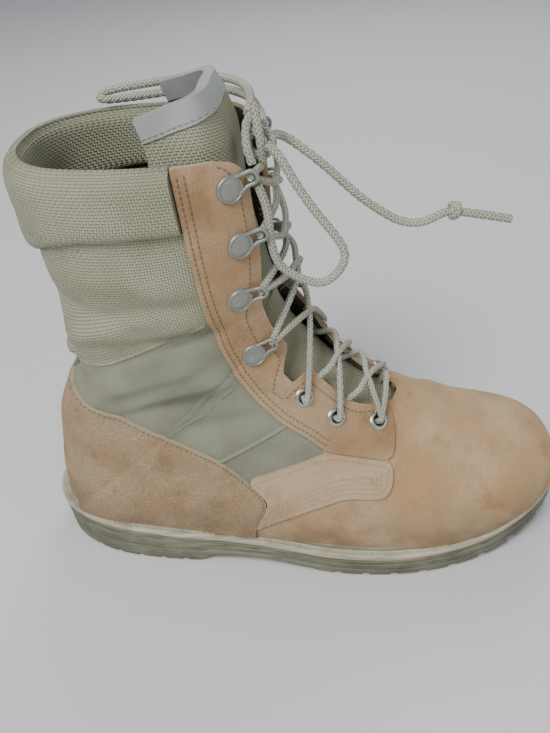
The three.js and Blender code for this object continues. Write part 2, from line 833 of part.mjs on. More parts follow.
function tongueShell(lip) {
  return form((p) => tongueOut - press(p) + lip, 6, lastRow, 22).subtract(
    form((p) => tongueOut - press(p) - tongueThickness - lip, 6, lastRow, 22),
  );
}

// Everything above the tongue's top, which slopes up from its sides to its front.
function tongueTop(lift) {
  const [x0, x1] = [frontOfShaft - shaftDepth, frontOfShaft + shaftDepth];
  const line = (x) => topline + tongueRise + tongueSlope * (x - frontOfShaft) + lift;
  return sidePrism([[x0, line(x0)], [x1, line(x1)], [x1, 600], [x0, 600]], -far, far);
}

function tongue() {
  return largest(tongueShell(0).intersect(tongueBand(tongueStart, tongueEnd, 20)).subtract(tongueTop(-bindingHeight)));
}

function tongueBinding() {
  const lip = tongueShell(bindingLip).intersect(tongueBand(20, tongueEnd, 8));
  return largest(lip.subtract(tongueTop(0)).intersect(tongueTop(seam - bindingHeight)));
}

// Hooks and eyelets

// A geometry built along +Z (or "y") at the origin, put on the form with its +X towards a direction.
function placed(geometry, point, normal, towards, axis = "z") {
  if (axis === "y") geometry.rotateX(Math.PI / 2);
  const x = towards.clone().addScaledVector(normal, -towards.dot(normal)).normalize();
  const y = normal.clone().cross(x);
  const matrix = new THREE.Matrix4().makeBasis(x, y, normal).setPosition(point);
  return geometry.applyMatrix4(matrix);
}

// Heights of the ridge above each pair of hooks, in shares of the topline, and of the eyelets', in shares
// of the instep's height.
const hookHeights = [0.955, 0.855, 0.775, 0.68];
const eyeletHeights = [1.37, 1.2, 1.04];

function placesOf(kind) {
  const hook = kind === "hook";
  const heights = hook ? hookHeights.map((h) => h * topline) : eyeletHeights.map((h) => h * instepHeight);
  const inset = hook ? hookInset : eyeletInset;
  const found = [];
  for (const side of ["lateral", "medial"]) {
    heights.forEach((z, i) => {
      const s = sectionAtHeight(z);
      const gap = side === "lateral" ? gapLateral(s) : gapMedial(s);
      const y = (gap + inset) * (side === "lateral" ? -1 : 1);
      found.push({ name: `${kind}_${side}_${i + 1}`, s, y, ...pointOut(s, y) });
    });
  }
  return found;
}

function hook({ point, normal, y }) {
  const lift = seam + overlayThickness + seam;
  const cap = new THREE.LatheGeometry(
    [
      new THREE.Vector2(0, -0.9),
      new THREE.Vector2(capRadius, -0.9),
      new THREE.Vector2(capRadius, 0.9),
      new THREE.Vector2(capRadius - 0.8, 1.6),
      new THREE.Vector2(0, 1.8),
    ],
    12,
  );
  const bend = new THREE.CatmullRomCurve3(
    [
      new THREE.Vector3(-1, 3.2, 1.1),
      new THREE.Vector3(0.72 * hookReach, 3.4, 1.4),
      new THREE.Vector3(0.95 * hookReach, 2.4, 2),
      new THREE.Vector3(hookReach, 0, 2.2),
      new THREE.Vector3(0.95 * hookReach, -2.4, 2),
      new THREE.Vector3(0.72 * hookReach, -3.4, 1.4),
      new THREE.Vector3(-1, -3.2, 1.1),
    ],
  );
  const towards = new THREE.Vector3(0.35, y < 0 ? 1 : -1, 0.25);
  const at = point.clone().addScaledVector(normal, lift);
  const disc = solidOf(placed(cap, at, normal, towards, "y"));
  const wire = solidOf(placed(tube(bend, hookWire, 7, 5), at, normal, towards));
  return largest(disc.add(wire).subtract(overlaySkin));
}

function eyelet({ point, normal }) {
  const lip = seam + overlayThickness + seam;
  const ring = new THREE.LatheGeometry(
    [
      [eyeletBore, -wallThickness],
      [eyeletBore + 0.6, -wallThickness],
      [eyeletBore + 0.6, lip],
      [eyeletRadius, lip],
      [eyeletRadius - 0.6, lip + 1],
      [eyeletBore, lip + 0.8],
      [eyeletBore, -wallThickness],
    ].map(([r, z]) => new THREE.Vector2(r, z)),
    10,
  );
  return solidOf(placed(ring, point.clone(), normal, new THREE.Vector3(1, 0, 0), "y"));
}

// A tube of a diameter along a curve.
function tube(curve, diameter, steps, corners = 8) {
  const circle = new THREE.Shape();
  for (let i = 0; i < corners; i++) {
    const angle = (2 * Math.PI * i) / corners;
    const [x, y] = [(Math.cos(angle) * diameter) / 2, (Math.sin(angle) * diameter) / 2];
    if (i === 0) circle.moveTo(x, y);
    else circle.lineTo(x, y);
  }
  return new THREE.ExtrudeGeometry(circle, { steps, bevelEnabled: false, extrudePath: curve });
}

// Laces

const knotFoot = [146, -17, 231.5];
const knotCentre = [146, -14, 240.5];
const knotWrap = [
  [147, -18, 234.5],
  [147, -19.5, 242],
  [146, -18, 250],
  [145, -16, 258],
];

function crossings() {
  const lift = laceLift;
  const turns = [...placesOf("hook"), ...placesOf("eyelet")];
  const rank = (name) => (name[0] === "h" ? Number(name.at(-1)) : hookHeights.length + Number(name.at(-1)));
  const turnAt = (side, i) => {
    const place = turns.find(({ name }) => name.includes(side) && rank(name) === i);
    const inwards = place.name[0] === "h" ? hookReach + laceDiameter : 0;
    return { s: place.s, y: place.y - Math.sign(place.y) * inwards };
  };
  const bottom = hookHeights.length + eyeletHeights.length;
  const run = (a, b) => {
    const points = [];
    for (let k = 0; k <= 6; k++) {
      const t = k / 6;
      const { point, normal } = pointOut(a.s + (b.s - a.s) * t, a.y + (b.y - a.y) * t);
      points.push(point.clone().addScaledVector(normal, lift - 4 * t * (1 - t) * press(point)));
    }
    return solidOf(tube(new THREE.CatmullRomCurve3(points), laceDiameter, 4, 6));
  };
  let made = run(turnAt("lateral", bottom), turnAt("medial", bottom));
  for (let i = bottom; i > 1; i--) {
    made = made.add(run(turnAt("lateral", i), turnAt("medial", i - 1)));
    made = made.add(run(turnAt("medial", i), turnAt("lateral", i - 1)));
  }
  for (const side of ["lateral", "medial"]) {
    const { s, y } = turnAt(side, 1);
    const { point, normal } = pointOut(s, y);
    const start = point.addScaledVector(normal, laceLift);
    const foot = new THREE.Vector3(...knotFoot);
    const middle = start.clone().add(foot).multiplyScalar(0.5).add(new THREE.Vector3(1, 0, 1));
    made = made.add(solidOf(tube(new THREE.CatmullRomCurve3([start, middle, foot]), laceDiameter, 3, 6)));
  }
  return made;
}

function knot() {
  const wrap = new THREE.CatmullRomCurve3(knotWrap.map((p) => new THREE.Vector3(...p)));
  const ring = new THREE.TorusGeometry(1.6 * laceDiameter, laceDiameter / 2, 6, 12);
  ring.rotateX(Math.PI / 2 - 0.5);
  ring.translate(...knotCentre);
  return solidOf(tube(wrap, laceDiameter, 4)).add(solidOf(ring));
}

const cords = {
  lace_loop_far: [
    [141, -6, 250],
    [141, 10, 252],
    [136, 28, 253],
    [122, 43, 253],
    [104, 47, 252],
    [86, 45, 251],
    [72, 43, 250],
    [64, 40, 248.5],
    [66, 36.5, 247],
    [78, 40, 246.5],
    [92, 44, 246.5],
    [108, 46.5, 247],
    [124, 42, 247.5],
    [138, 27, 247.5],
    [145, 8, 246],
    [147, -4, 245],
  ],
  lace_loop_near: [
    [154.5, -21.5, 238],
    [160.5, -24, 226],
    [168, -25, 214],
    [176, -26, 203],
    [181, -27, 194],
    [178, -27, 185],
    [170, -27, 179],
    [160, -28, 183],
    [152, -29, 190],
    [149, -30, 201],
    [148.5, -30, 216],
    [147.5, -30.5, 222],
    [145.5, -31, 229],
  ],
  lace_end_near: [
    [152.2, -10.5, 242.5],
    [157, -3, 238],
    [172, -2, 225],
    [186, -2, 211],
    [197, -2, 202],
    [207, -2, 196],
    [217, -2, 195],
    [227, -2, 200],
    [231, -2, 200],
    [242, -2, 198],
    [257, -2, 195],
  ],
};

const group = new THREE.Group();
group.name = "combat_boot";
group.position.x = -heelCentre;

function add(name, solid, color, roughness = 0.9, metalness = 0) {
  const material = new THREE.MeshStandardMaterial({ color, roughness, metalness });
  const mesh = new THREE.Mesh(geometryOf(solid), material);
  mesh.name = name;
  group.add(mesh);
}

const rubber = 0x86866f;
const suede = 0xcfa878;
const brownSuede = 0xb08c62;
const nylon = 0x96967a;
const greyMetal = 0x8c8f87;
const cordColour = 0xa5a58f;

add("outsole", outsole(), rubber);
add("midsole", midsole(), 0x8f8f7a);
add("welt", welt(), 0xc3c3af);
add("insole", insole(), 0x3a3c38);
add("upper", upper(), suede);
add("collar_cuff", cuff(), nylon);
add("heel_counter", counter(), suede);
add("backstay", backstay(), 0xa7a88f);
for (const side of ["lateral", "medial"]) {
  add(`eyestay_${side}`, eyestay(side), brownSuede);
  add(`saddle_${side}`, saddle(side), suede);
}
add("tongue", tongue(), nylon);
add("tongue_binding", tongueBinding(), 0xaaafaa);
for (const place of placesOf("hook")) add(place.name, hook(place), greyMetal, 0.5, 0.6);
for (const place of placesOf("eyelet")) add(place.name, eyelet(place), 0xb9bab4, 0.4, 0.8);
add("lace_crossings", crossings(), cordColour);
add("lace_knot", knot(), cordColour);
for (const [name, points] of Object.entries(cords)) {
  const path = new THREE.CatmullRomCurve3(points.map((p) => new THREE.Vector3(...p)));
  add(name, solidOf(tube(path, laceDiameter, Math.ceil(path.getLength() / (2.5 * laceDiameter)))), cordColour);
}

export default group;
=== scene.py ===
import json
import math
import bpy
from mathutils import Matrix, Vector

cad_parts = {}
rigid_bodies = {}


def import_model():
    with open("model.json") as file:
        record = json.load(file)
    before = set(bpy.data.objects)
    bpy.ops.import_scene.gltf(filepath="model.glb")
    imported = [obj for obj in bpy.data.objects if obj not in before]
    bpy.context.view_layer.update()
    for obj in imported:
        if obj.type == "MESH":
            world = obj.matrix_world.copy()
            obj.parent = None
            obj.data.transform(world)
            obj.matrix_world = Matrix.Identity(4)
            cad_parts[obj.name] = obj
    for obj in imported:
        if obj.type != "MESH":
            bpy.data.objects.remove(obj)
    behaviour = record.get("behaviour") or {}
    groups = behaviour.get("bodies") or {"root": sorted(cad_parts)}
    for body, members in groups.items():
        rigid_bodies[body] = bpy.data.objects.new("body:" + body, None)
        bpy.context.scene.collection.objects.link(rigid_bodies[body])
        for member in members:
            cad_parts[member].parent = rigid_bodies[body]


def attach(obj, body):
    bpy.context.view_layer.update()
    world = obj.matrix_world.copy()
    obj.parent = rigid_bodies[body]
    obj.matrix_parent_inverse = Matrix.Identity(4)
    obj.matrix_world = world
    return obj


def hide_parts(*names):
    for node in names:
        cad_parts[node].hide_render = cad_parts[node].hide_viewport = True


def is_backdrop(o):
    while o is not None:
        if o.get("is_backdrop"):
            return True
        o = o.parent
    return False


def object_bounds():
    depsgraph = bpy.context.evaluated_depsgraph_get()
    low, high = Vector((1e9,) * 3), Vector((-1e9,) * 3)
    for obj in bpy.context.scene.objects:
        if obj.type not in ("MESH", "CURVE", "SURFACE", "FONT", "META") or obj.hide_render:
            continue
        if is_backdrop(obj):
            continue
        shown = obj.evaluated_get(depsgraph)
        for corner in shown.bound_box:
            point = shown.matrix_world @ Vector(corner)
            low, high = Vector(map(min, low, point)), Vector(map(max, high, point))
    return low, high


bl_info = {
    "name": "Combat boot",
    "version": (1, 0, 0),
    "blender": (4, 5, 0),
    "location": "View3D > Sidebar > Boot",
    "description": "Dresses a lace-up hot-weather combat boot: suede, woven nylon, braided lace and rubber",
    "category": "Object",
}

import bpy
import numpy as np
from mathutils import Matrix, Vector
from mathutils.bvhtree import BVHTree

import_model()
CAD_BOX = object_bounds()

# Driving sizes, in millimetres, as in the part's source
MM = 0.001
SOLE_LENGTH = 306.0
BALL_WIDTH = 110.5
HEEL_WIDTH = 86.0
HEEL_HEIGHT = 28.6
BALL_HEIGHT = 18.3
TOE_SPRING = 14.0
INSTEP_HEIGHT = 97.0
ANKLE_HEIGHT = 191.0
SHAFT_RISE = 50.0
SHAFT_DEPTH = 127.0
SHAFT_WIDTH = 90.0
SEAM = 0.3
WALL = 2.2
OVERLAY = 1.7
HEEL_CENTRE = 45.0
WELT_THICKNESS = 3.6
MIDSOLE_THICKNESS = 3.4
WELT_WIDTH = 7.5
WELT_HIDDEN = 9.0
BEAD_HEIGHT = 1.8
ARCH_HEIGHT = 5.5
TOE_BOTTOM_RISE = 14.5
LUG_DEPTH = 3.2
GROOVE_WIDTH = 4.2
LUG_PITCH = 15.5
SPINE_WIDTH = 26.0
GROOVE_TURN = 0.2
THROAT_GAP = 31.0
THROAT_DEPTH = 26.0
THROAT_START = 7.0
CAP_RADIUS = 5.9
HOOK_INSET = 4.4
HOOK_REACH = 12.0
HOOK_WIRE = 1.8
EYELET_INSET = 6.5
EYELET_RADIUS = 5.1
EYELET_BORE = 2.6
LACE_DIAMETER = 3.3
LACE_LIFT = 7.4
TONGUE_THICKNESS = 4.0
TONGUE_WIDTH = 77.0
TONGUE_RISE = 31.6
TONGUE_SLOPE = 0.26
TONGUE_PRESS = 14.0
TONGUE_REACH = 50.0
TONGUE_START = 6.25
TONGUE_OUT = -(WALL + SEAM + 0.1)
BINDING_HEIGHT = 10.0
BINDING_LIP = 0.7
CUFF_HEIGHT = 55.0
CUFF_PADDING = 4.2
BURIED = 8.0
BACKSTAY_HALF = 8.0
BACKSTAY_FOOT = 60.0
TOPLINE = ANKLE_HEIGHT + SHAFT_RISE
FRONT_OF_SHAFT = 0.516 * SOLE_LENGTH
FAR = 150.0
BEHIND = -60.0
AHEAD = 400.0
OVERHEAD = 500.0
# How far folds may sink and the lining may rise, and how near the form a face of its outside lies
FOLD_LIMIT = 3.4
LINING_LIMIT = 0.8
OUTSIDE_REACH = 0.9
SIDES = (("lateral", -1), ("medial", 1))
HEEL_HOLLOW = 3.4
CAP_TOP = TOPLINE + 1.5
STITCH_PITCH = 2.5

# Sole outline: share of the length, half width on each side, and the width they follow
SOLE_OUTLINE = [
    (0.0, -0.03, 0.03, "heel"),
    (0.012, 0.3, 0.3, "heel"),
    (0.045, 0.62, 0.58, "heel"),
    (0.1, 0.86, 0.79, "heel"),
    (0.165, 1.0, 0.89, "heel"),
    (0.26, 1.08, 0.87, "heel"),
    (0.36, 0.86, 0.62, "ball"),
    (0.46, 0.915, 0.64, "ball"),
    (0.555, 0.995, 0.75, "ball"),
    (0.64, 1.02, 0.9, "ball"),
    (0.72, 0.985, 0.97, "ball"),
    (0.8, 0.875, 0.97, "ball"),
    (0.875, 0.7, 0.88, "ball"),
    (0.94, 0.44, 0.67, "ball"),
    (0.98, 0.17, 0.42, "ball"),
    (1.0, -0.09, 0.13, "ball"),
]
# Sections: top x, top z, bottom x, lateral, medial, down, round, ridge
FOOT_ROWS = [
    (0.981, 0.36, 0.972, 0.1, 0.24, 0.6, 2.0, 0.09),
    (0.98, 0.48, 0.955, 0.29, 0.42, 0.62, 2.1, 0.1),
    (0.965, 0.59, 0.925, 0.47, 0.57, 0.66, 2.2, 0.1),
    (0.94, 0.67, 0.885, 0.62, 0.7, 0.7, 2.25, 0.1),
    (0.9, 0.73, 0.835, 0.76, 0.81, 0.74, 2.25, 0.09),
    (0.84, 0.78, 0.765, 0.87, 0.88, 0.78, 2.2, 0.09),
    (0.765, 0.865, 0.69, 0.92, 0.87, 0.8, 2.1, 0.1),
    (0.68, 0.985, 0.61, 0.915, 0.79, 0.82, 2.05, 0.1),
    (0.607, 1.14, 0.52, 0.875, 0.7, 0.84, 2.05, 0.09),
]
ANKLE_ROWS = [
    (0.562, 0.31, 0.41, 0.83, 0.66, 0.8, 2.15, 0.06),
    (0.538, 0.45, 0.3, 0.79, 0.65, 0.74, 2.2, 0.04),
    (0.524, 0.55, 0.195, 0.755, 0.65, 0.66, 2.25, 0.02),
    (0.516, 0.63, 0.105, 0.74, 0.655, 0.6, 2.25, 0.0),
    (0.511, 0.7, 0.045, 0.73, 0.66, 0.56, 2.3, -0.01),
]
# Heel sections: front x, front z, back x, back z, lateral, medial, down, round
HEEL_ROWS = [
    (1.0, 0.765, 1.16, 0.115, 0.86, 0.82, 0.53, 2.3),
    (0.994, 0.81, 1.162, 0.24, 0.86, 0.82, 0.5, 2.3),
    (0.989, 0.85, 1.135, 0.37, 0.87, 0.83, 0.5, 2.3),
    (0.985, 0.885, 1.09, 0.5, 0.88, 0.84, 0.5, 2.3),
    (0.98, 0.92, 0.995, 0.625, 0.9, 0.86, 0.5, 2.3),
    (0.976, 0.955, 0.95, 0.745, 0.93, 0.89, 0.5, 2.3),
    (0.971, 1.0, 0.945, 0.865, 0.96, 0.92, 0.5, 2.3),
]
# Shaft sections: front, rise, back, back's rise, lateral, medial
SHAFT_ROWS = [
    (0.967, 0.14, 0.95, -0.1, 0.985, 0.945),
    (0.963, 0.34, 0.955, 0.22, 1.0, 0.96),
    (0.959, 0.58, 0.96, 0.54, 1.0, 0.965),
    (0.955, 0.82, 0.965, 0.8, 0.99, 0.96),
    (0.951, 1.04, 0.96, 1.03, 0.97, 0.94),
    (0.925, 1.3, 0.95, 1.3, 0.93, 0.91),
    (0.86, 1.65, 0.95, 1.65, 0.89, 0.87),
    (0.78, 2.0, 0.95, 2.0, 0.84, 0.83),
]


def smooth_at(stations, u):
    """A smooth curve through (u, value) pairs, level where it turns, read at an array of places."""
    xs = np.array([p[0] for p in stations], float)
    vs = np.array([p[1] for p in stations], float)
    slope = np.diff(vs) / np.diff(xs)
    left = np.concatenate([[slope[0]], slope])
    right = np.concatenate([slope, [slope[-1]]])
    total = left + right
    flat = left * right <= 0
    tangent = np.where(flat, 0, 2 * left * right / np.where(total == 0, 1, total))
    u = np.clip(np.asarray(u, float), xs[0], xs[-1])
    i = np.clip(np.searchsorted(xs, u, side="right") - 1, 0, len(xs) - 2)
    h = xs[i + 1] - xs[i]
    t = (u - xs[i]) / h
    return (
        vs[i] * (1 + 2 * t) * (1 - t) ** 2
        + h * tangent[i] * t * (1 - t) ** 2
        + vs[i + 1] * t * t * (3 - 2 * t)
        + h * tangent[i + 1] * t * t * (t - 1)
    )


def run_of(line):
    """How far each point of a line lies along it."""
    return np.concatenate([[0], np.cumsum(np.linalg.norm(np.diff(line, axis=0), axis=1))])


def read_along(line, places):
    """The points at given distances along a line."""
    run = run_of(line)
    return np.stack([np.interp(places, run, line[:, k]) for k in range(line.shape[1])], -1)


def catmull(points, count):
    """Evenly spaced points on a smooth curve through the given ones."""
    p = np.asarray(points, float)
    p = np.vstack([2 * p[0] - p[1], p, 2 * p[-1] - p[-2]])
    fine = []
    for a, b, c, d in zip(p[:-3], p[1:-2], p[2:-1], p[3:]):
        for t in np.linspace(0, 1, 24, endpoint=False):
            bend = (2 * a - 5 * b + 4 * c - d) * t**2 + (3 * b - a - 3 * c + d) * t**3
            fine.append(0.5 * (2 * b + (c - a) * t + bend))
    fine = np.array([*fine, p[-2]])
    return read_along(fine, np.linspace(0, run_of(fine)[-1], count))


def outline_side(side, inset, count=120):
    """One side of the sole's outline, heel to toe, moved inwards."""
    knots = []
    for along, lateral, medial, of in SOLE_OUTLINE:
        half = (HEEL_WIDTH if of == "heel" else BALL_WIDTH) / 2
        knots.append((along * SOLE_LENGTH, side * half * (lateral if side < 0 else medial)))
    line = catmull(knots, count)
    step = np.gradient(line, axis=0)
    step /= np.linalg.norm(step, axis=1)[:, None]
    inwards = np.stack([-step[:, 1], step[:, 0]], -1) * -side
    moved = line + inwards * inset
    moved[:, 0] = np.clip(moved[:, 0], inset, SOLE_LENGTH - inset)
    return moved


def along_sole(rows, x):
    """A height read along the sole, from pairs of a share of its length and a height."""
    return smooth_at([(a * SOLE_LENGTH, z) for a, z in rows], x)


def welt_top(x):
    heel, ball = HEEL_HEIGHT, BALL_HEIGHT
    rows = [
        (0, heel + 0.08 * TOE_SPRING),
        (0.16, heel),
        (0.3, ball + 0.7 * (heel - ball)),
        (0.43, ball + 0.35 * (heel - ball)),
        (0.56, ball + 0.05 * (heel - ball)),
        (0.68, ball),
        (0.82, ball + 0.18 * TOE_SPRING),
        (0.915, ball + 0.52 * TOE_SPRING),
        (1, ball + TOE_SPRING),
    ]
    return along_sole(rows, x)


def tread_bottom(x):
    rows = [
        (0, 3),
        (0.035, 0.8),
        (0.06, 0),
        (0.3, 0),
        (0.325, 0.8 * ARCH_HEIGHT),
        (0.4, ARCH_HEIGHT),
        (0.5, 0.4 * ARCH_HEIGHT),
        (0.56, 0),
        (0.76, 0),
        (0.88, 0.27 * TOE_BOTTOM_RISE),
        (1, TOE_BOTTOM_RISE),
    ]
    return along_sole(rows, x)


def section_table():
    """The last's sections as columns: top x z, bottom x z, widths, feather widths, down, round, ridge."""
    half, leg = BALL_WIDTH / 2, SHAFT_WIDTH / 2
    rise = ANKLE_HEIGHT - INSTEP_HEIGHT
    feather = {side: outline_side(side, WELT_WIDTH, 25) for side in (-1, 1)}
    rows = []
    open_rows = [(r[0], r[1] * INSTEP_HEIGHT, *r[2:]) for r in FOOT_ROWS]
    open_rows += [(r[0], INSTEP_HEIGHT + r[1] * rise, *r[2:]) for r in ANKLE_ROWS]
    for top_x, top_z, low_x, lateral, medial, down, roundness, ridge in open_rows:
        x = low_x * SOLE_LENGTH
        foot = [abs(np.interp(x, feather[side][:, 0], feather[side][:, 1])) for side in (-1, 1)]
        ends = (top_x * SOLE_LENGTH, top_z, x, float(welt_top(x)) - BURIED)
        rows.append((*ends, lateral * half, medial * half, *foot, down, roundness, ridge * half))
    heel = [(*r[:6], INSTEP_HEIGHT, rise, 0, ANKLE_HEIGHT, *r[6:]) for r in HEEL_ROWS]
    shaft = [(*r, ANKLE_HEIGHT, SHAFT_RISE, ANKLE_HEIGHT, SHAFT_RISE, 0.5, 2.3) for r in SHAFT_ROWS]
    for fx, fz, bx, bz, lateral, medial, top, top_rise, low, low_rise, down, roundness in heel + shaft:
        front = (FRONT_OF_SHAFT - (1 - fx) * SHAFT_DEPTH, top + fz * top_rise)
        back = (FRONT_OF_SHAFT - bx * SHAFT_DEPTH, low + bz * low_rise)
        rows.append((*front, *back, lateral * leg, medial * leg, 0, 0, down, roundness, 0))
    return np.array(rows)


SECTIONS = section_table()
LAST_ROW = len(SECTIONS) - 1


def sections_at(s):
    """The table's columns, read between its rows."""
    places = range(len(SECTIONS))
    return [smooth_at(list(zip(places, SECTIONS[:, k])), s) for k in range(SECTIONS.shape[1])]


def surface(s, q, side):
    """Points of the last's form. q runs from 0 at the ridge to 1 at the widest place and 2 at the foot."""
    x0, z0, x1, z1, lateral, medial, foot_l, foot_m, down, roundness, ridge = sections_at(s)
    wide = np.where(side < 0, lateral, medial)
    foot = np.minimum(np.where(side < 0, foot_l, foot_m), wide)
    upper = np.clip(q, 0, 1) * math.pi / 2
    lower = np.clip(q - 1, 0, 1) * math.pi / 2
    c, d = np.cos(upper).clip(0), np.sin(upper).clip(0)
    depth_up = down * (1 - c ** (2 / roundness))
    out_up = ridge * side + (wide - ridge * side) * d ** (2 / roundness)
    depth_low = down + (1 - down) * np.sin(lower).clip(0) ** (2 / 2.4)
    out_low = foot + (wide - foot) * np.cos(lower).clip(0) ** (2 / 2.4)
    depth = np.where(q <= 1, depth_up, depth_low)
    out = np.where(q <= 1, out_up, out_low)
    return np.stack([x0 + (x1 - x0) * depth, side * out, z0 + (z1 - z0) * depth], -1)


def normals(s, q, side):
    """Outward normals, from short steps on the form."""
    ds, dq = 0.02, 0.01
    along = surface(np.minimum(s + ds, LAST_ROW), q, side) - surface(np.maximum(s - ds, 0), q, side)
    low_q = q - dq
    low = np.where((low_q < 0)[..., None], surface(s, np.abs(low_q), -side), surface(s, np.abs(low_q), side))
    high = surface(s, np.minimum(q + dq, 2), side)
    n = np.cross(along, high - low) * -np.asarray(side)[..., None]
    size = np.linalg.norm(n, axis=-1, keepdims=True)
    return np.where(size < 1e-9, [0, 0, 1], n / np.maximum(size, 1e-9))


def point_out(s, y):
    """The place and normal on the form at a distance out, in the section at s."""
    side = -1.0 if y < 0 else 1.0
    row = sections_at(s)
    wide = row[4] if side < 0 else row[5]
    ridge = row[10] * side
    share = np.clip((abs(y) - ridge) / (wide - ridge), 0, 1)
    q = np.arcsin(share ** (row[9] / 2)) * 2 / math.pi
    s, q, side = np.float64(s), np.float64(q), np.float64(side)
    return surface(s, q, side), normals(s, np.maximum(q, 0.02), side)


def section_at_height(z):
    """The section whose ridge stands at a height."""
    low, high = 6.0, float(LAST_ROW)
    for _ in range(24):
        middle = (low + high) / 2
        if sections_at(middle)[1] < z:
            low = middle
        else:
            high = middle
    return low


# Creases, folds and seams, in shares of the sole's length and the ankle's height: two ends, half
# width in millimetres, height in millimetres (a trough is negative), and the sides that they lie on
FOLDS = [
    (0.16, 0.69, 0.37, 0.83, 4.5, -2.2, "both"),
    (0.17, 0.62, 0.33, 0.72, 5.0, 1.3, "both"),
    (0.12, 0.7, 0.2, 0.735, 4.6, -1.9, "both"),
    (0.2, 0.56, 0.38, 0.62, 4.5, -1.6, "both"),
    (0.24, 0.6, 0.4, 0.68, 4.5, 1.2, "both"),
    (0.3, 0.5, 0.43, 0.55, 4.0, -1.2, "both"),
    (0.15, 0.8, 0.3, 0.9, 6.0, 1.2, "both"),
    (0.14, 0.92, 0.28, 0.86, 7.0, -1.0, "lateral"),
    (0.2, 1.0, 0.34, 0.98, 7.0, 0.8, "lateral"),
    (0.09, 0.66, 0.15, 0.67, 3.0, -2.6, "both"),
    (0.1, 0.71, 0.14, 0.74, 3.5, 1.8, "both"),
    (0.68, 0.25, 0.72, 0.44, 6.0, -0.9, "both"),
    (0.72, 0.22, 0.755, 0.42, 7.0, 0.6, "both"),
    (0.76, 0.2, 0.79, 0.38, 7.0, -0.7, "both"),
    (0.62, 0.2, 0.66, 0.3, 5.0, -0.7, "both"),
    (0.1, 0.4, 0.22, 0.36, 8.0, -0.8, "both"),
    (0.15, 0.25, 0.36, 0.22, 9.0, 0.7, "lateral"),
    (0.1, 0.65, 0.27, 0.61, 5.5, -0.8, "both"),
    (0.22, 0.53, 0.35, 0.545, 5.0, -0.8, "both"),
    (0.16, 0.77, 0.33, 0.8, 5.0, -1.1, "both"),
    (0.2, 0.87, 0.36, 0.93, 5.0, -0.9, "both"),
]
# Narrow tapes and seams on the nylon, in the same shares, with their half widths in millimetres
TAPES = {
    "shaft_seam": (
        [(0.05, 0.675), (0.12, 0.7), (0.2, 0.733), (0.29, 0.8), (0.38, 0.868)], 0.75, "coarse_nylon",
    ),
    "quarter_tape": ([(0.366, 0.413), (0.43, 0.474), (0.492, 0.529)], 1.25, "tape"),
    "quarter_fold": ([(0.29, 0.51), (0.36, 0.585), (0.41, 0.66)], 0.6, "fine_nylon"),
}


def strip_relief(p, rows):
    """The heights of folds, each a bowed strip that fades at its ends."""
    total = np.zeros(p.shape[:-1])
    x, z = p[..., 0], p[..., 2]
    for ax, az, bx, bz, width, height, where in rows:
        a = np.array([ax * SOLE_LENGTH, az * ANKLE_HEIGHT])
        b = np.array([bx * SOLE_LENGTH, bz * ANKLE_HEIGHT])
        d = b - a
        t = ((x - a[0]) * d[0] + (z - a[1]) * d[1]) / (d @ d)
        bow = 0.06 * np.linalg.norm(d) * np.sin(np.clip(t, 0, 1) * math.pi)
        off = ((x - a[0]) * -d[1] + (z - a[1]) * d[0]) / np.linalg.norm(d) - bow
        fade = np.clip((t + 0.25) / 0.35, 0, 1) * np.clip((1.25 - t) / 0.35, 0, 1)
        one = height * np.exp(-((off / width) ** 2)) * fade * fade * (3 - 2 * fade)
        if where != "both":
            one = one * (p[..., 1] < 0 if where == "lateral" else p[..., 1] > 0)
        total += one
    return total


def soft_noise(p, scale, seed):
    """A gentle swell, the sum of a few waves in fixed directions."""
    rng = np.random.default_rng(seed)
    total = np.zeros(p.shape[:-1])
    for _ in range(6):
        k = rng.normal(size=3)
        k *= (0.6 + 0.8 * rng.random()) / np.linalg.norm(k) / scale
        total += np.sin(p @ k * 2 * math.pi + rng.random() * 6.3)
    return total / 6


def relief(p):
    """How the worn leather and cloth stand off the last."""
    nylon = np.clip((p[..., 2] - 70) / 60, 0, 1) * (p[..., 0] < 150)
    swell = soft_noise(p, 60, 3) * (0.35 + 0.5 * nylon) + soft_noise(p, 22, 5) * (0.1 + 0.22 * nylon)
    heel = np.exp(-(((p[..., 2] - 88) / 34) ** 2)) * np.clip((45 - p[..., 0]) / 40, 0, 1)
    soft = (1.0 + 1.1 * nylon) * bpy.context.scene.boot.crease_depth
    return np.maximum(strip_relief(p, FOLDS) * soft, -FOLD_LIMIT) + swell - HEEL_HOLLOW * heel


def press(p):
    """With the throat slack the tongue falls back from the form."""
    across = np.maximum(0, 1 - (p[..., 1] / 54) ** 2) ** 1.5
    rise = [(1.1 * INSTEP_HEIGHT, 0), (0.7 * TOPLINE, 0.55), (0.9 * TOPLINE, 1), (2 * TOPLINE, 1)]
    high = smooth_at(rise, p[..., 2])
    in_cuff = smooth_at([(TOPLINE - CUFF_HEIGHT, 0), (TOPLINE - 0.6 * CUFF_HEIGHT, 1)], p[..., 2])
    behind = smooth_at(
        [(FRONT_OF_SHAFT - 0.33 * SHAFT_DEPTH, 1), (FRONT_OF_SHAFT - 0.24 * SHAFT_DEPTH, 0)], p[..., 0]
    )
    tuck = 1.2 * CUFF_PADDING * in_cuff * behind
    return np.where(p[..., 0] > FRONT_OF_SHAFT - 0.5 * SHAFT_DEPTH, TONGUE_PRESS * across * high + tuck, tuck)


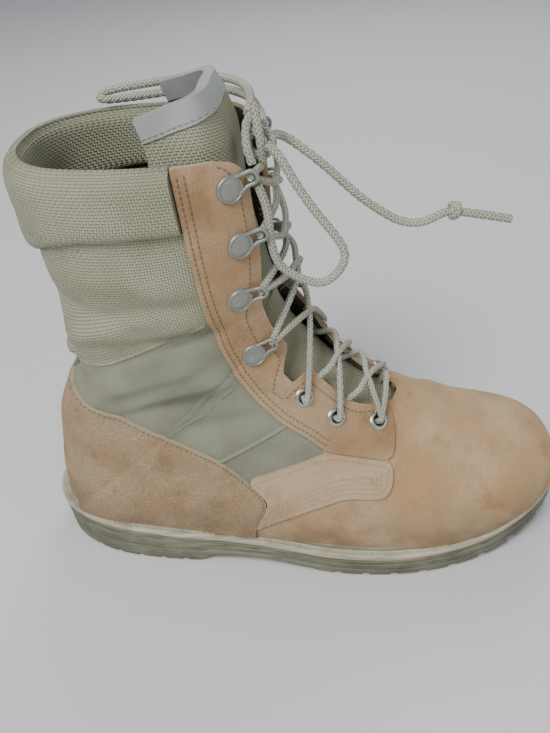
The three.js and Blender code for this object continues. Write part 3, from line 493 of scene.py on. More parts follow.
# Half the throat's gap at each section, as a share of the gap at the ankle
LATERAL_GAP = [
    (7.0, 0.08), (7.12, 0.34), (7.4, 0.54), (8, 0.68), (9.6, 0.72), (10.15, 0.95), (10.6, 0.95), (11.4, 0.76),
    (14, 0.86), (20, 1), (23.9, 1), (24.5, 1.06), (24.85, 1.15), (25.05, 1.28), (28, 1.32),
]
MEDIAL_GAP = [
    (7.0, 0.02), (7.12, 0.08), (8, 0.12), (9.1, 0.2), (11, 0.42), (14, 0.7), (20, 0.92), (23.9, 0.95),
    (24.5, 1.02), (24.85, 1.12), (25.05, 1.25), (28, 1.3),
]


def gap_at(s, side):
    return smooth_at(LATERAL_GAP if side < 0 else MEDIAL_GAP, s) * THROAT_GAP


# Building helpers: a grid or cylinder primitive is put where a function says


def deselect():
    bpy.ops.object.select_all(action="DESELECT")


def to_scene(points):
    """Millimetres from the back of the sole to metres from the origin under the heel."""
    return (np.asarray(points, float) - [HEEL_CENTRE, 0, 0]) * MM


def active(obj):
    deselect()
    bpy.context.view_layer.objects.active = obj
    obj.select_set(True)
    return obj


def edit(obj, *steps):
    """Edit mode on a whole mesh, for a few steps."""
    active(obj)
    bpy.ops.object.mode_set(mode="EDIT")
    bpy.ops.mesh.select_all(action="SELECT")
    for step in steps:
        step()
    bpy.ops.object.mode_set(mode="OBJECT")
    return obj


def read(items, key, kind=float, width=1):
    """One property of all the items of a mesh, as an array."""
    values = np.empty(len(items) * width, kind)
    items.foreach_get(key, values)
    return values.reshape(-1, width) if width > 1 else values


def grid(name, points, uv=None):
    """A grid primitive whose vertices are placed on an array of points, rows by columns."""
    rows, cols = points.shape[:2]
    deselect()
    bpy.ops.mesh.primitive_grid_add(x_subdivisions=cols - 1, y_subdivisions=rows - 1, size=2)
    obj = bpy.context.object
    mesh = obj.data
    obj.name = mesh.name = name
    old = read(mesh.vertices, "co", width=3)
    j = np.rint((old[:, 0] + 1) / 2 * (cols - 1)).astype(int)
    i = np.rint((old[:, 1] + 1) / 2 * (rows - 1)).astype(int)
    mesh.vertices.foreach_set("co", to_scene(points[i, j]).ravel())
    if uv is not None:
        loops = read(mesh.loops, "vertex_index", int)
        mesh.uv_layers[0].data.foreach_set("uv", uv[i[loops], j[loops]].ravel())
    mesh.update()
    return edit(
        obj,
        lambda: bpy.ops.mesh.remove_doubles(threshold=2e-6),
        lambda: bpy.ops.mesh.normals_make_consistent(inside=False),
    )


def fill_ends(obj):
    """Closes a mesh's open ends."""
    return edit(
        obj,
        lambda: bpy.ops.mesh.select_all(action="DESELECT"),
        lambda: bpy.ops.mesh.select_non_manifold(),
        lambda: bpy.ops.mesh.fill_holes(sides=0),
        lambda: bpy.ops.mesh.select_all(action="SELECT"),
        lambda: bpy.ops.mesh.normals_make_consistent(inside=False),
    )


def loft(name, loops, uv=None):
    """A closed solid through an array of loops."""
    loops = np.asarray(loops)
    return fill_ends(grid(name, np.concatenate([loops, loops[:, :1]], axis=1), uv))


def form(name, grow, first=0.0, last=None, rows=150, columns=34):
    """A stretch of the last's form as a closed solid, grown outwards by grow(points)."""
    last = LAST_ROW if last is None else last
    s = np.linspace(first, last, rows)[:, None] * np.ones(columns)
    q = np.linspace(0, 2, columns)[None, :] * np.ones((rows, 1))
    halves = []
    for side in (-1.0, 1.0):
        sides = np.full(s.shape, side)
        p = surface(s, q, sides)
        p = p + normals(s, np.minimum(q, 1.98), sides) * grow(p)[..., None]
        halves.append(p)
    loops = np.concatenate([halves[0], halves[1][:, ::-1]], axis=1)
    steps = np.linalg.norm(np.diff(loops, axis=1), axis=2)
    across = np.concatenate([np.zeros((rows, 1)), np.cumsum(steps, axis=1)], axis=1)
    run = run_of(halves[0][:, columns // 2])
    uv = np.stack([across, run[:, None] * np.ones(across.shape[1])], -1) * MM
    uv = np.concatenate([uv, uv[:, -1:]], axis=1)
    return loft(name, loops, uv)


def prism(name, outline, y0, y1):
    """A side-view outline carried across the boot."""
    outline = np.asarray(outline, float)
    ring = lambda y: np.stack([outline[:, 0], np.full(len(outline), y), outline[:, 1]], -1)
    return loft(name, [ring(y0), ring(y1)])


def block(name, x, z, y=(-FAR, FAR)):
    """A box between two places along the boot, two heights and two places across."""
    return prism(name, [(x[0], z[0]), (x[1], z[0]), (x[1], z[1]), (x[0], z[1])], *y)


def band(name, first, last, rows, depth, left_at, right_at):
    """A solid along the front of the form, as wide at each section as left_at and right_at say."""
    loops = []
    for s in np.linspace(first, last, rows):
        row = sections_at(s)
        top, low = np.array([row[0], row[1]]), np.array([row[2], row[3]])
        along = (low - top) / np.linalg.norm(low - top)
        corner = lambda y, d: (top[0] + along[0] * d, y, top[1] + along[1] * d)
        left, right = -left_at(s), right_at(s)
        over = -0.35 * SHAFT_DEPTH
        loops.append([corner(left, over), corner(left, depth), corner(right, depth), corner(right, over)])
    return loft(name, np.array(loops))


def cut(obj, *cutters, how="DIFFERENCE", keep=False):
    """Takes cutters away from a piece, and removes them unless they are kept."""
    for cutter in cutters:
        modifier = obj.modifiers.new("cut", "BOOLEAN")
        modifier.operation = how
        modifier.solver = "MANIFOLD"
        modifier.object = cutter
        active(obj)
        bpy.ops.object.modifier_apply(modifier=modifier.name)
        if not keep:
            bpy.data.objects.remove(cutter, do_unlink=True)
    return obj


def only(obj, cutter):
    return cut(obj, cutter, how="INTERSECT")


def copy_of(obj, name):
    """A twin with a mesh of its own."""
    twin = obj.copy()
    twin.data = obj.data.copy()
    twin.name = twin.data.name = name
    bpy.context.collection.objects.link(twin)
    return twin


def drop(*objs):
    for obj in objs:
        bpy.data.objects.remove(obj, do_unlink=True)


def smooth(obj, angle=35):
    active(obj)
    bpy.ops.object.shade_smooth_by_angle(angle=math.radians(angle))
    return obj


def finish_piece(obj, slot, looks, *nodes):
    """Dresses a piece in one or more looks and hides the solids that it stands for."""
    kept = read(obj.data.polygons, "material_index", int)
    obj.data.materials.clear()
    for look in looks.split():
        obj.data.materials.append(material(look))
    obj.data.polygons.foreach_set("material_index", np.minimum(kept, len(obj.data.materials) - 1))
    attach(obj, "root")
    if nodes:
        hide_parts(*nodes)
    return obj


# Outlines in the side view, in shares of the sole's length and of the ankle's height


def scaled(rows):
    return np.array(rows, float) * [SOLE_LENGTH, ANKLE_HEIGHT]


COUNTER = [
    (-0.1, 0.645), (0.08, 0.64), (0.14, 0.62), (0.19, 0.585), (0.255, 0.52), (0.315, 0.475), (0.37, 0.42),
    (0.412, 0.352), (0.45, 0.275), (0.415, 0.155), (0.415, -0.2), (-0.1, -0.2),
]
EYESTAY = [
    (0.362, 1.5), (0.37, 1.24), (0.376, 1.1), (0.382, 0.945), (0.395, 0.79), (0.415, 0.69), (0.44, 0.62),
    (0.48, 0.54), (0.523, 0.487), (0.556, 0.435), (0.668, 0.392), (0.674, 0.46), (0.655, 0.55), (0.66, 1.5),
]
SADDLE = [
    (0.415, 0.155), (0.45, 0.275), (0.412, 0.355), (0.49, 0.4), (0.552, 0.432), (0.668, 0.388),
    (0.667, 0.33), (0.654, 0.293), (0.585, 0.298), (0.516, 0.25), (0.445, 0.19),
]
CUFF_SEAM = [(-0.1, 0.955), (0.1, 1.02), (0.16, 1.075), (0.22, 1.108), (0.3, 1.118), (0.42, 1.13)]
# Where the shaft's coarse nylon begins: places along the boot and heights, in millimetres
COARSE_FROM = ([0, 0.2 * SOLE_LENGTH, 0.38 * SOLE_LENGTH], [126, 139, 165])
QUARTER = [
    (-0.08, 0.55), (0.14, 0.55), (0.2, 0.5), (0.3, 0.4), (0.36, 0.32), (0.44, 0.24), (0.57, 0.39),
    (0.5, 0.55), (0.425, 0.7), (0.4, 0.9), (0.386, 1.6), (-0.08, 1.6),
]


def rounded(outline, radius, steps=4):
    """An outline with its corners rounded off."""
    outline = np.asarray(outline, float)
    out = []
    for i, p in enumerate(outline):
        a, b = outline[i - 1] - p, outline[(i + 1) % len(outline)] - p
        la, lb = np.linalg.norm(a), np.linalg.norm(b)
        r = min(radius, 0.45 * la, 0.45 * lb)
        start, end = p + a / la * r, p + b / lb * r
        for t in np.linspace(0, 1, steps + 1):
            out.append((1 - t) ** 2 * start + 2 * t * (1 - t) * p + t * t * end)
    return np.array(out)


def grown(outline, by):
    """An outline moved outwards."""
    outline = np.asarray(outline, float)
    nxt, prv = np.roll(outline, -1, 0), np.roll(outline, 1, 0)
    area = np.sum(outline[:, 0] * nxt[:, 1] - nxt[:, 0] * outline[:, 1])
    turn = 1 if area > 0 else -1
    a, b = outline - prv, nxt - outline
    a /= np.maximum(np.linalg.norm(a, axis=1), 1e-9)[:, None]
    b /= np.maximum(np.linalg.norm(b, axis=1), 1e-9)[:, None]
    na, nb = np.stack([a[:, 1], -a[:, 0]], -1), np.stack([b[:, 1], -b[:, 0]], -1)
    out = na + nb
    out /= np.maximum(np.linalg.norm(out, axis=1), 1e-9)[:, None]
    reach = by / np.maximum((out * na).sum(1), 0.5)
    return outline + out * reach[:, None] * turn


def inside_outline(outline, x, z):
    """Which of the side-view places lie in an outline."""
    found = np.zeros(np.shape(x), bool)
    for (x1, z1), (x2, z2) in zip(outline, np.roll(outline, -1, 0)):
        crosses = (z1 > z) != (z2 > z)
        with np.errstate(divide="ignore", invalid="ignore"):
            found ^= crosses & (x < (x2 - x1) * (z - z1) / (z2 - z1) + x1)
    return found


COUNTER_LINE = rounded(scaled(COUNTER), 9)
EYESTAY_LINE = rounded(scaled(EYESTAY), 9)
SADDLE_LINE = rounded(scaled(SADDLE), 6)
CUFF_LINE = scaled(CUFF_SEAM)


def below_welt(lift):
    """All that lies lower than a height over the welt's top."""
    x = np.linspace(0, SOLE_LENGTH, 60)
    z = welt_top(x) + lift
    toe = SOLE_LENGTH - BEHIND
    outline = [(BEHIND, BEHIND), (BEHIND, z[0]), *zip(x, z), (toe, z[-1]), (toe, BEHIND)]
    return prism("below_welt", outline, -FAR, FAR)


def above(z):
    return block("above", (BEHIND, AHEAD), (z, OVERHEAD))


def above_fabric(lift):
    """All that lies behind the eyestays and over the cuff's seam."""
    front = EYESTAY[2][0] * SOLE_LENGTH + 4
    x = np.linspace(-30, front, 30)
    z = smooth_at(CUFF_LINE, x) + lift
    return prism("fabric", [*zip(x, z), (front, 2 * TOPLINE), (BEHIND, 2 * TOPLINE)], -FAR, FAR)


def throat():
    gaps = (lambda s: gap_at(s, -1), lambda s: gap_at(s, 1))
    return band("throat", THROAT_START, LAST_ROW, 240, THROAT_DEPTH, *gaps)


# Heights of the hooks and eyelets, what they are shares of, and how far from the throat they stand
FITTINGS = {
    "hook": ((0.955, 0.855, 0.775, 0.68), TOPLINE, HOOK_INSET),
    "eyelet": ((1.37, 1.2, 1.04), INSTEP_HEIGHT, EYELET_INSET),
}


def places_of(kind):
    """The name, section, distance out, place and normal of each hook or eyelet."""
    heights, scale, inset = FITTINGS[kind]
    found = []
    for label, side in SIDES:
        for i, height in enumerate(heights):
            s = section_at_height(height * scale)
            y = side * (gap_at(s, side) + inset)
            point, normal = point_out(s, y)
            lift = float(relief(point))
            found.append((f"{kind}_{label}_{i + 1}", s, float(y), point + normal * lift, normal))
    return found


def eyelet_holes(radius):
    holes = []
    for _, _, _, point, normal in places_of("eyelet"):
        deselect()
        bpy.ops.mesh.primitive_cylinder_add(vertices=32, radius=radius * MM, depth=20 * MM)
        hole = bpy.context.object
        hole.data.transform(frame_matrix(point, normal, (1, 0, 0)))
        holes.append(hole)
    return holes


def frame_matrix(point, normal, towards):
    """From a part built along +Z to its place on the boot, its +X towards a direction."""
    z = Vector(normal).normalized()
    x = (Vector(towards) - z * z.dot(Vector(towards))).normalized()
    y = z.cross(x)
    matrix = Matrix((x, y, z)).transposed().to_4x4()
    matrix.translation = Vector(to_scene(point))
    return matrix


# How far each form stands off the worn last, and its rows and columns
FORMS = {
    "outer": (0, 230, 64),
    "overlay_low": (0.05, 200, 40),
    "overlay_high": (OVERLAY + SEAM, 200, 40),
}
SHAPES = {}
TREES = {}


def shape(name):
    """The last's forms, each built once."""
    if name not in SHAPES:
        extra, rows, columns = FORMS[name]
        SHAPES[name] = form(name, lambda p: relief(p) + extra, rows=rows, columns=columns)
        SHAPES[name].hide_render = True
    return SHAPES[name]


def tidy_islands(obj):
    """Drops the crumbs that a cut leaves."""
    edit(obj, lambda: bpy.ops.mesh.separate(type="LOOSE"))
    parts = list(bpy.context.selected_objects)
    if obj not in parts:
        parts.append(obj)
    name = obj.name
    whole = max(parts, key=lambda one: len(one.data.polygons))
    drop(*[one for one in parts if one != whole])
    whole.name = name
    return whole


def tree_of(obj):
    """A piece's surface, ready to be searched."""
    if obj.name not in TREES:
        obj.data.calc_loop_triangles()
        places = [Vector(v) for v in read(obj.data.vertices, "co", width=3)]
        triangles = read(obj.data.loop_triangles, "vertices", int, 3)
        TREES[obj.name] = BVHTree.FromPolygons(places, triangles.tolist())
    return TREES[obj.name]


def paint_faces(obj, index):
    obj.data.polygons.foreach_set("material_index", np.asarray(index, int))
    obj.data.update()


def form_normals(points):
    """The form's normals next to some points, and their distances."""
    tree = tree_of(shape("outer"))
    hits = [tree.find_nearest(Vector(p)) for p in to_scene(points)]
    found = np.array([(*hit[1], hit[3]) for hit in hits])
    return found[:, :3], found[:, 3] / MM


def face_lean(obj):
    """Each face's place, how far it faces the way of the form, and its distance from the form."""
    faces = obj.data.polygons
    centre = read(faces, "center", width=3) / MM + [HEEL_CENTRE, 0, 0]
    near, distance = form_normals(centre)
    return centre, (near * read(faces, "normal", width=3)).sum(1), distance


# Materials


def group(name):
    """One of the shared node groups, made when it is first asked for."""
    if name in bpy.data.node_groups:
        return bpy.data.node_groups[name]
    fill, inputs, outputs = GROUPS[name]
    tree = bpy.data.node_groups.new(name, "ShaderNodeTree")
    for label, default in inputs:
        socket = tree.interface.new_socket(label, in_out="INPUT", socket_type="NodeSocketFloat")
        socket.default_value = default
    for label in outputs:
        tree.interface.new_socket(label, in_out="OUTPUT", socket_type="NodeSocketFloat")
    fill(Nodes(tree), tree.nodes.new("NodeGroupInput").outputs, tree.nodes.new("NodeGroupOutput").inputs)
    return tree


class Nodes:
    """Short forms for placing and joining shader nodes."""

    def __init__(self, tree):
        self.tree = tree

    def node(self, kind, **values):
        made = self.tree.nodes.new("ShaderNode" + kind)
        for key, value in values.items():
            if hasattr(made, key):
                setattr(made, key, value)
            else:
                made.inputs[key.replace("_", " ")].default_value = value
        return made

    def link(self, a, b):
        self.tree.links.new(a, b)

    def give(self, socket, value):
        """A socket takes a number, a colour or what another socket puts out."""
        if isinstance(value, (int, float, tuple)):
            socket.default_value = value
        else:
            self.link(value, socket)

    def math(self, operation, a, b=0.0):
        made = self.node("Math", operation=operation)
        self.give(made.inputs[0], a)
        self.give(made.inputs[1], b)
        return made.outputs[0]

    def times(self, a, b):
        return self.math("MULTIPLY", a, b)

    def ramp(self, value, low, high, to_low=0.0, to_high=1.0):
        made = self.node("MapRange", interpolation_type="SMOOTHSTEP")
        for i, number in enumerate([value, low, high, to_low, to_high]):
            self.give(made.inputs[i], number)
        return made.outputs[0]

    def mix(self, factor, a, b):
        made = self.node("Mix", data_type="RGBA")
        for i, value in ((0, factor), (6, a), (7, b)):
            self.give(made.inputs[i], value)
        return made.outputs[2]

    def place(self, kind="Object"):
        return self.node("TexCoord").outputs[kind]

    def along(self):
        """The two parts of the UV map."""
        uv = self.node("SeparateXYZ")
        self.link(self.place("UV"), uv.inputs[0])
        return uv.outputs["X"], uv.outputs["Y"]

    def noise(self, vector, scale, detail=3.0, rough=0.5):
        made = self.node("TexNoise", Detail=detail, Roughness=rough)
        self.give(made.inputs["Scale"], scale)
        self.link(vector, made.inputs["Vector"])
        return made.outputs["Fac"]


def colour(r, g, b):
    """An sRGB colour as the shader wants it."""
    line = lambda c: c / 12.92 if c <= 0.04045 else ((c + 0.055) / 1.055) ** 2.4
    parts = [line(c / 255) for c in (r, g, b)]
    grey = sum(parts) / 3
    return tuple(min(max(0.92 * (grey + 1.06 * (c - grey)), 0.002), 0.9) for c in parts) + (1.0,)


def fill_grain(n, into, out):
    """Nap, patches, stains, streaks and dirt on the boot's own coordinates."""
    place = n.place()
    n.link(n.ramp(n.noise(place, into[0], 4.0, 0.65), 0.3, 0.7), out["Nap"])
    n.link(n.ramp(n.noise(place, 32.0), 0.35, 0.65), out["Patches"])
    n.link(n.ramp(n.noise(place, 55.0, 5.0, 0.6), 0.52, 0.72), out["Stains"])
    squash = n.node("Mapping", Scale=(0.12, 0.12, 2.4))
    n.link(place, squash.inputs["Vector"])
    n.link(n.ramp(n.noise(squash.outputs[0], 420.0), 0.35, 0.7), out["Streaks"])
    height = n.node("SeparateXYZ")
    n.link(place, height.inputs[0])
    low = n.ramp(height.outputs["Z"], 0.02, 0.06, 1.0, 0.0)
    n.link(n.times(low, n.ramp(n.noise(place, 60.0), 0.3, 0.7, 0.35, 1.0)), out["Dirt"])


def fill_weave(n, into, out):
    """A plain weave on the cloth's own coordinates, in metres. Its low places also set the painted shade
    between the threads.
    """
    waves = [n.math("SINE", n.times(n.math("DIVIDE", part, into[0]), math.pi)) for part in n.along()]
    over = n.math("GREATER_THAN", n.times(*waves), 0.0)
    warp, weft = [n.math("ABSOLUTE", wave) for wave in waves]
    n.link(n.math("ADD", n.times(warp, over), n.times(weft, n.math("SUBTRACT", 1.0, over))), out[0])


def fill_braid(n, into, out):
    """Slanted strands in columns that lean to either side, on the cord's own coordinates. Its low places, in
    the grooves and at the columns' edges, also set the painted shade.
    """
    round_cord, down_cord = n.along()
    across = n.math("PINGPONG", n.math("DIVIDE", round_cord, into[1]), 0.5)
    turns = n.math("ADD", n.math("DIVIDE", down_cord, into[0]), n.times(across, 1.9))
    strand = n.math("ABSOLUTE", n.math("SINE", n.times(turns, math.pi)))
    edge = n.times(n.ramp(across, 0.0, 0.07), n.ramp(across, 0.5, 0.43))
    n.link(n.times(n.math("POWER", strand, 0.6), n.math("ADD", 0.45, n.times(edge, 0.55))), out[0])


def fill_edge(n, into, out):
    """Where the surface turns outwards and wears."""
    edge = n.ramp(n.node("NewGeometry").outputs["Pointiness"], 0.52, 0.6)
    n.link(n.times(edge, n.ramp(n.noise(n.place(), 300.0), 0.3, 0.65, 0.4, 1.0)), out[0])


# What fills each node group, its inputs and its outputs
GROUPS = {
    "Worn surface": (fill_grain, [("Nap scale", 1400.0)], ["Nap", "Patches", "Stains", "Streaks", "Dirt"]),
    "Weave": (fill_weave, [("Pitch", 0.001)], ["Height"]),
    "Braid": (fill_braid, [("Pitch", 0.0019), ("Column", 0.0034)], ["Height"]),
    "Edge wear": (fill_edge, [], ["Wear"]),
}
# The layers of each kind of surface over its patches: what drives it, how strongly, and its tint. On weaves
# and cords the gap layer is painted shade in the grooves between threads and strands
LAYERS = {
    "suede": [("Nap", 0.46, "dark"), ("Stains", 0.5, "dark"), ("Dirt", 0.75, "soil"), ("Wear", 0.6, "light")],
    "weave": [("Painted gap shade", 0.75, "dark"), ("Dirt", 0.4, "dark")],
    "rubber": [("Streaks", 0.55, "dark"), ("Stains", 0.45, "dark")],
    "metal": [("Wear", 0.6, "light"), ("Patches", 0.3, "dark")],
    "cord": [("Painted gap shade", 1.0, "dark"), ("Nap", 0.15, "dark")],
}
SOIL = (138, 112, 84)


# Each look's base, light and dark colour, roughness, metallic, kind, pitch or nap scale, bump in metres. The
# dark colour is where nap, stains, streaks and dirt tend; on weaves and cords it is also the painted shade in
# the gaps
LOOKS = {
    "vamp_suede": ((212, 176, 134), (228, 202, 164), (172, 128, 86), 0.95, 0, "suede", 1300, 0.0005),
    "stay_suede": ((190, 156, 118), (214, 186, 150), (152, 116, 82), 0.92, 0, "suede", 1500, 0.00035),
    "counter_suede": ((214, 180, 138), (228, 202, 164), (158, 122, 84), 1.0, 0, "suede", 820, 0.002),
    "saddle_suede": ((216, 185, 148), (228, 206, 174), (190, 152, 112), 0.95, 0, "suede", 1200, 0.0005),
    "raw_edge": ((214, 192, 160), (228, 210, 184), (178, 148, 116), 1.0, 0, "suede", 2200, 0.0005),
    "coarse_nylon": ((176, 176, 150), (192, 192, 168), (90, 90, 72), 0.85, 0, "weave", 0.00135, 0.0004),
    "fine_nylon": ((166, 167, 145), (188, 189, 168), (92, 94, 78), 0.85, 0, "weave", 0.0009, 0.0004),
    "tape": ((166, 167, 148), (176, 178, 162), (120, 122, 106), 0.8, 0, "weave", 0.0009, 0.0003),
    "lining": ((74, 76, 70), (96, 98, 90), (44, 46, 42), 0.95, 0, "weave", 0.0022, 0.0006),
    "binding_satin": ((176, 180, 176), (200, 203, 200), (140, 144, 138), 0.55, 0, "weave", 0.0006, 0.0001),
    "outsole_rubber": ((112, 112, 92), (142, 142, 122), (70, 70, 56), 0.75, 0, "rubber", 900, 0.0002),
    "midsole_rubber": ((124, 122, 102), (152, 150, 130), (78, 76, 60), 0.8, 0, "rubber", 900, 0.0002),
    "welt_rubber": ((188, 182, 158), (206, 200, 180), (116, 108, 86), 0.75, 0, "rubber", 900, 0.0002),
    "bead": ((134, 130, 108), (160, 154, 130), (88, 80, 60), 0.8, 0, "rubber", 900, 0.0002),
    "insole_cloth": ((62, 64, 60), (84, 86, 80), (40, 42, 38), 0.95, 0, "weave", 0.0016, 0.0003),
    "hook_paint": ((146, 149, 141), (172, 175, 168), (108, 110, 102), 0.38, 0.55, "metal", 2400, 0.00004),
    "eyelet_nickel": ((186, 186, 182), (214, 214, 210), (120, 114, 102), 0.3, 0.95, "metal", 2400, 0.00003),
    "thread": ((190, 168, 132), (206, 188, 154), (150, 126, 92), 0.8, 0, "suede", 2600, 0.0002),
    "thread_dark": ((120, 112, 98), (146, 136, 120), (88, 80, 68), 0.8, 0, "suede", 2600, 0.0002),
    "lace_cord": ((196, 197, 178), (214, 214, 198), (88, 88, 72), 0.75, 0, "cord", 2600, 0.0006),
    "thread_nylon": ((172, 172, 148), (190, 190, 168), (126, 126, 104), 0.8, 0, "suede", 2600, 0.0002),
    "floor_plain": ((226, 226, 224), (230, 230, 228), (220, 220, 218), 0.7, 0, "plain", 60, 0.0),
}


def material(name):
    title = "boot_" + name
    if title in bpy.data.materials:
        return bpy.data.materials[title]
    base, light, dark, rough, metallic, kind, pitch, bump = LOOKS[name]
    tints = {"base": colour(*base), "light": colour(*light), "dark": colour(*dark), "soil": colour(*SOIL)}
    made = bpy.data.materials.new(title)
    made.use_nodes = True
    made.diffuse_color = tints["base"]
    n = Nodes(made.node_tree)
    shader = made.node_tree.nodes["Principled BSDF"]
    shader.inputs["Metallic"].default_value = metallic
    shader.inputs["Roughness"].default_value = rough
    if kind == "plain":
        shader.inputs["Base Color"].default_value = tints["base"]
        return made
    worn = n.node("Group", node_tree=group("Worn surface"))
    worn.inputs[0].default_value = 1800.0 if kind in ("weave", "cord") else pitch
    drives = {socket.name: socket for socket in worn.outputs}
    drives["Wear"] = n.node("Group", node_tree=group("Edge wear")).outputs[0]
    height = drives["Streaks" if kind == "rubber" else "Nap"]
    if kind == "suede":
        shader.inputs["Specular IOR Level"].default_value = 0.15
        shader.inputs["Sheen Weight"].default_value = 0.12
    elif kind == "weave":
        shader.inputs["Specular IOR Level"].default_value = 0.25
        weave = n.node("Group", node_tree=group("Weave"))
        weave.inputs[0].default_value = pitch
        height = weave.outputs[0]
        # Painted shade: the weave's low places between the threads are darkened towards the dark tint
        drives["Painted gap shade"] = n.math("POWER", n.math("SUBTRACT", 1.0, height), 0.7)
    elif kind == "cord":
        height = n.node("Group", node_tree=group("Braid")).outputs[0]
        # Painted shade: the braid's grooves between strands and at the columns' edges are darkened towards
        # the dark tint
        drives["Painted gap shade"] = n.ramp(height, 0.15, 0.75, 0.85, 0.0)
    tint = n.mix(n.times(drives["Patches"], 0.85), tints["base"], tints["light"])
    for drive, share, towards in LAYERS[kind]:
        tint = n.mix(n.times(drives[drive], share), tint, tints[towards])
    n.link(tint, shader.inputs["Base Color"])
    if bump:
        node = n.node("Bump", Distance=bump, Strength=0.8)
        n.link(height, node.inputs["Height"])
        n.link(node.outputs[0], shader.inputs["Normal"])
    return made


# Sole


def sole_loop(inset, height_at, count=150):
    """The sole's outline, moved inwards, at the heights that a function says."""
    line = np.concatenate([outline_side(-1, inset, count), outline_side(1, inset, count)[::-1]])
    return np.column_stack([line, height_at(line[:, 0])])


def slab(name, levels):
    return loft(name, [sole_loop(inset, height_at) for inset, height_at in levels])


def weld(x):
    return welt_top(x) - WELT_THICKNESS


def midsole_base(x):
    return weld(x) - MIDSOLE_THICKNESS


def raised(height_at, by):
    return lambda x: height_at(x) + by


def tread_cutters():
    """The grooves between the lugs, from either side to the spine."""
    size = Matrix.Diagonal((GROOVE_WIDTH * MM, BALL_WIDTH * MM, 2 * LUG_DEPTH * MM, 1))
    cutters = []
    for first, last in ((0.02 * SOLE_LENGTH, 0.3 * SOLE_LENGTH), (0.55 * SOLE_LENGTH, 0.97 * SOLE_LENGTH)):
        count = round((last - first) / LUG_PITCH)
        for i in range(count + 1):
            x = first + i / count * (last - first)
            for _, side in SIDES:
                deselect()
                bpy.ops.mesh.primitive_cube_add(size=1)
                box = bpy.context.object
                shift = Matrix.Translation((0, side * (BALL_WIDTH + SPINE_WIDTH) / 2 * MM, 0))
                place = Matrix.Translation(Vector(to_scene((x, 0, float(tread_bottom(x))))))
                box.data.transform(place @ Matrix.Rotation(side * GROOVE_TURN, 4, "Z") @ shift @ size)
                cutters.append(box)
    return cutters


# The outsole's wall: how far it stands in, and the share of its height
TREAD_WALL = [
    (3.6, 0), (2.2, 0.04), (1.5, 0.12), (1.2, 0.3), (1.3, 0.44), (2.0, 0.5), (2.0, 0.56), (1.1, 0.62),
    (0.8, 0.8), (0.8, 0.95), (1.2, 1),
]


def build_sole():
    share = lambda part: (lambda x: tread_bottom(x) + part * (midsole_base(x) - SEAM - tread_bottom(x)))
    sole = slab("outsole_tread", [(inset, share(part)) for inset, part in TREAD_WALL])
    cut(sole, *tread_cutters())
    finish_piece(smooth(sole, 32), "outsole_rubber", "outsole_rubber", "outsole")
    layer = [(1.6, 0), (1.0, 0.6), (0.9, MIDSOLE_THICKNESS - SEAM - 0.5), (1.3, MIDSOLE_THICKNESS - SEAM)]
    mid = slab("midsole_layer", [(inset, raised(midsole_base, by)) for inset, by in layer])
    finish_piece(smooth(mid, 40), "outsole_rubber", "midsole_rubber", "midsole")
    edge = [(1.0, weld), (0.3, raised(weld, 0.6)), (0.0, raised(weld, 0.4 * WELT_THICKNESS))]
    top = [(0.3, -0.6), (1.0, 0), (2.2, 0.05), (3.2, -0.5), (4.2, 0.05), (5.2, 0)]
    ring = slab("welt_strip", edge + [(inset, raised(welt_top, by)) for inset, by in top])
    inner = WELT_WIDTH + WELT_HIDDEN
    cut(ring, slab("hole", [(inner, raised(weld, -5)), (inner, raised(welt_top, 5))]))
    finish_piece(smooth(ring, 40), "welt_rubber", "welt_rubber", "welt")
    path = sole_path(WELT_WIDTH - 1.3, 0.5)
    bead = tube("welt_bead", np.vstack([path, path[:1]]), 1.45, around=12)
    finish_piece(bead, "welt_rubber", "bead")
    insole = bpy.data.objects["insole"]
    insole.data.materials.clear()
    insole.data.materials.append(material("insole_cloth"))


def sole_path(inset, lift, count=260):
    """A closed line round the sole at the welt's top."""
    line = sole_loop(inset, welt_top, count // 2)
    line[:, 2] += lift
    return line


def tube(name, path, radius, around=10, closed=True, braid=None):
    """A tube along a line of points, millimetres, by parallel transport, with its own length as UV."""
    path = np.asarray(path, float)
    tangent = np.gradient(path, axis=0)
    if closed:
        tangent[0] = tangent[-1] = path[1] - path[-2]
    tangent /= np.maximum(np.linalg.norm(tangent, axis=1), 1e-9)[:, None]
    up = np.array([0, 0, 1.0]) if abs(tangent[0][2]) < 0.9 else np.array([1.0, 0, 0])
    across = []
    for t in tangent:
        up = up - t * (up @ t)
        up /= np.linalg.norm(up)
        across.append(up)
    across = np.array(across)
    other = np.cross(tangent, across)
    run = run_of(path)
    angle = np.linspace(0, 2 * math.pi, around + 1)
    r = np.full((len(path), around + 1), 1.0) * radius
    if braid:
        pitch, strands, depth = braid
        turn = run[:, None] * 2 * math.pi / pitch
        left = np.sin(strands * angle[None, :] + turn)
        right = np.sin(strands * angle[None, :] - turn)
        r = r * (1 - depth + depth * np.maximum(left, right))
    x, y = np.cos(angle)[None, :, None], np.sin(angle)[None, :, None]
    points = path[:, None, :] + (across[:, None, :] * x + other[:, None, :] * y) * r[..., None]
    uv = np.stack([angle[None, :] * np.ones(r.shape) * radius, run[:, None] * np.ones(r.shape)], -1) * MM
    obj = grid(name, points, uv)
    if not closed:
        fill_ends(obj)
    return smooth(obj, 60)


# Upper


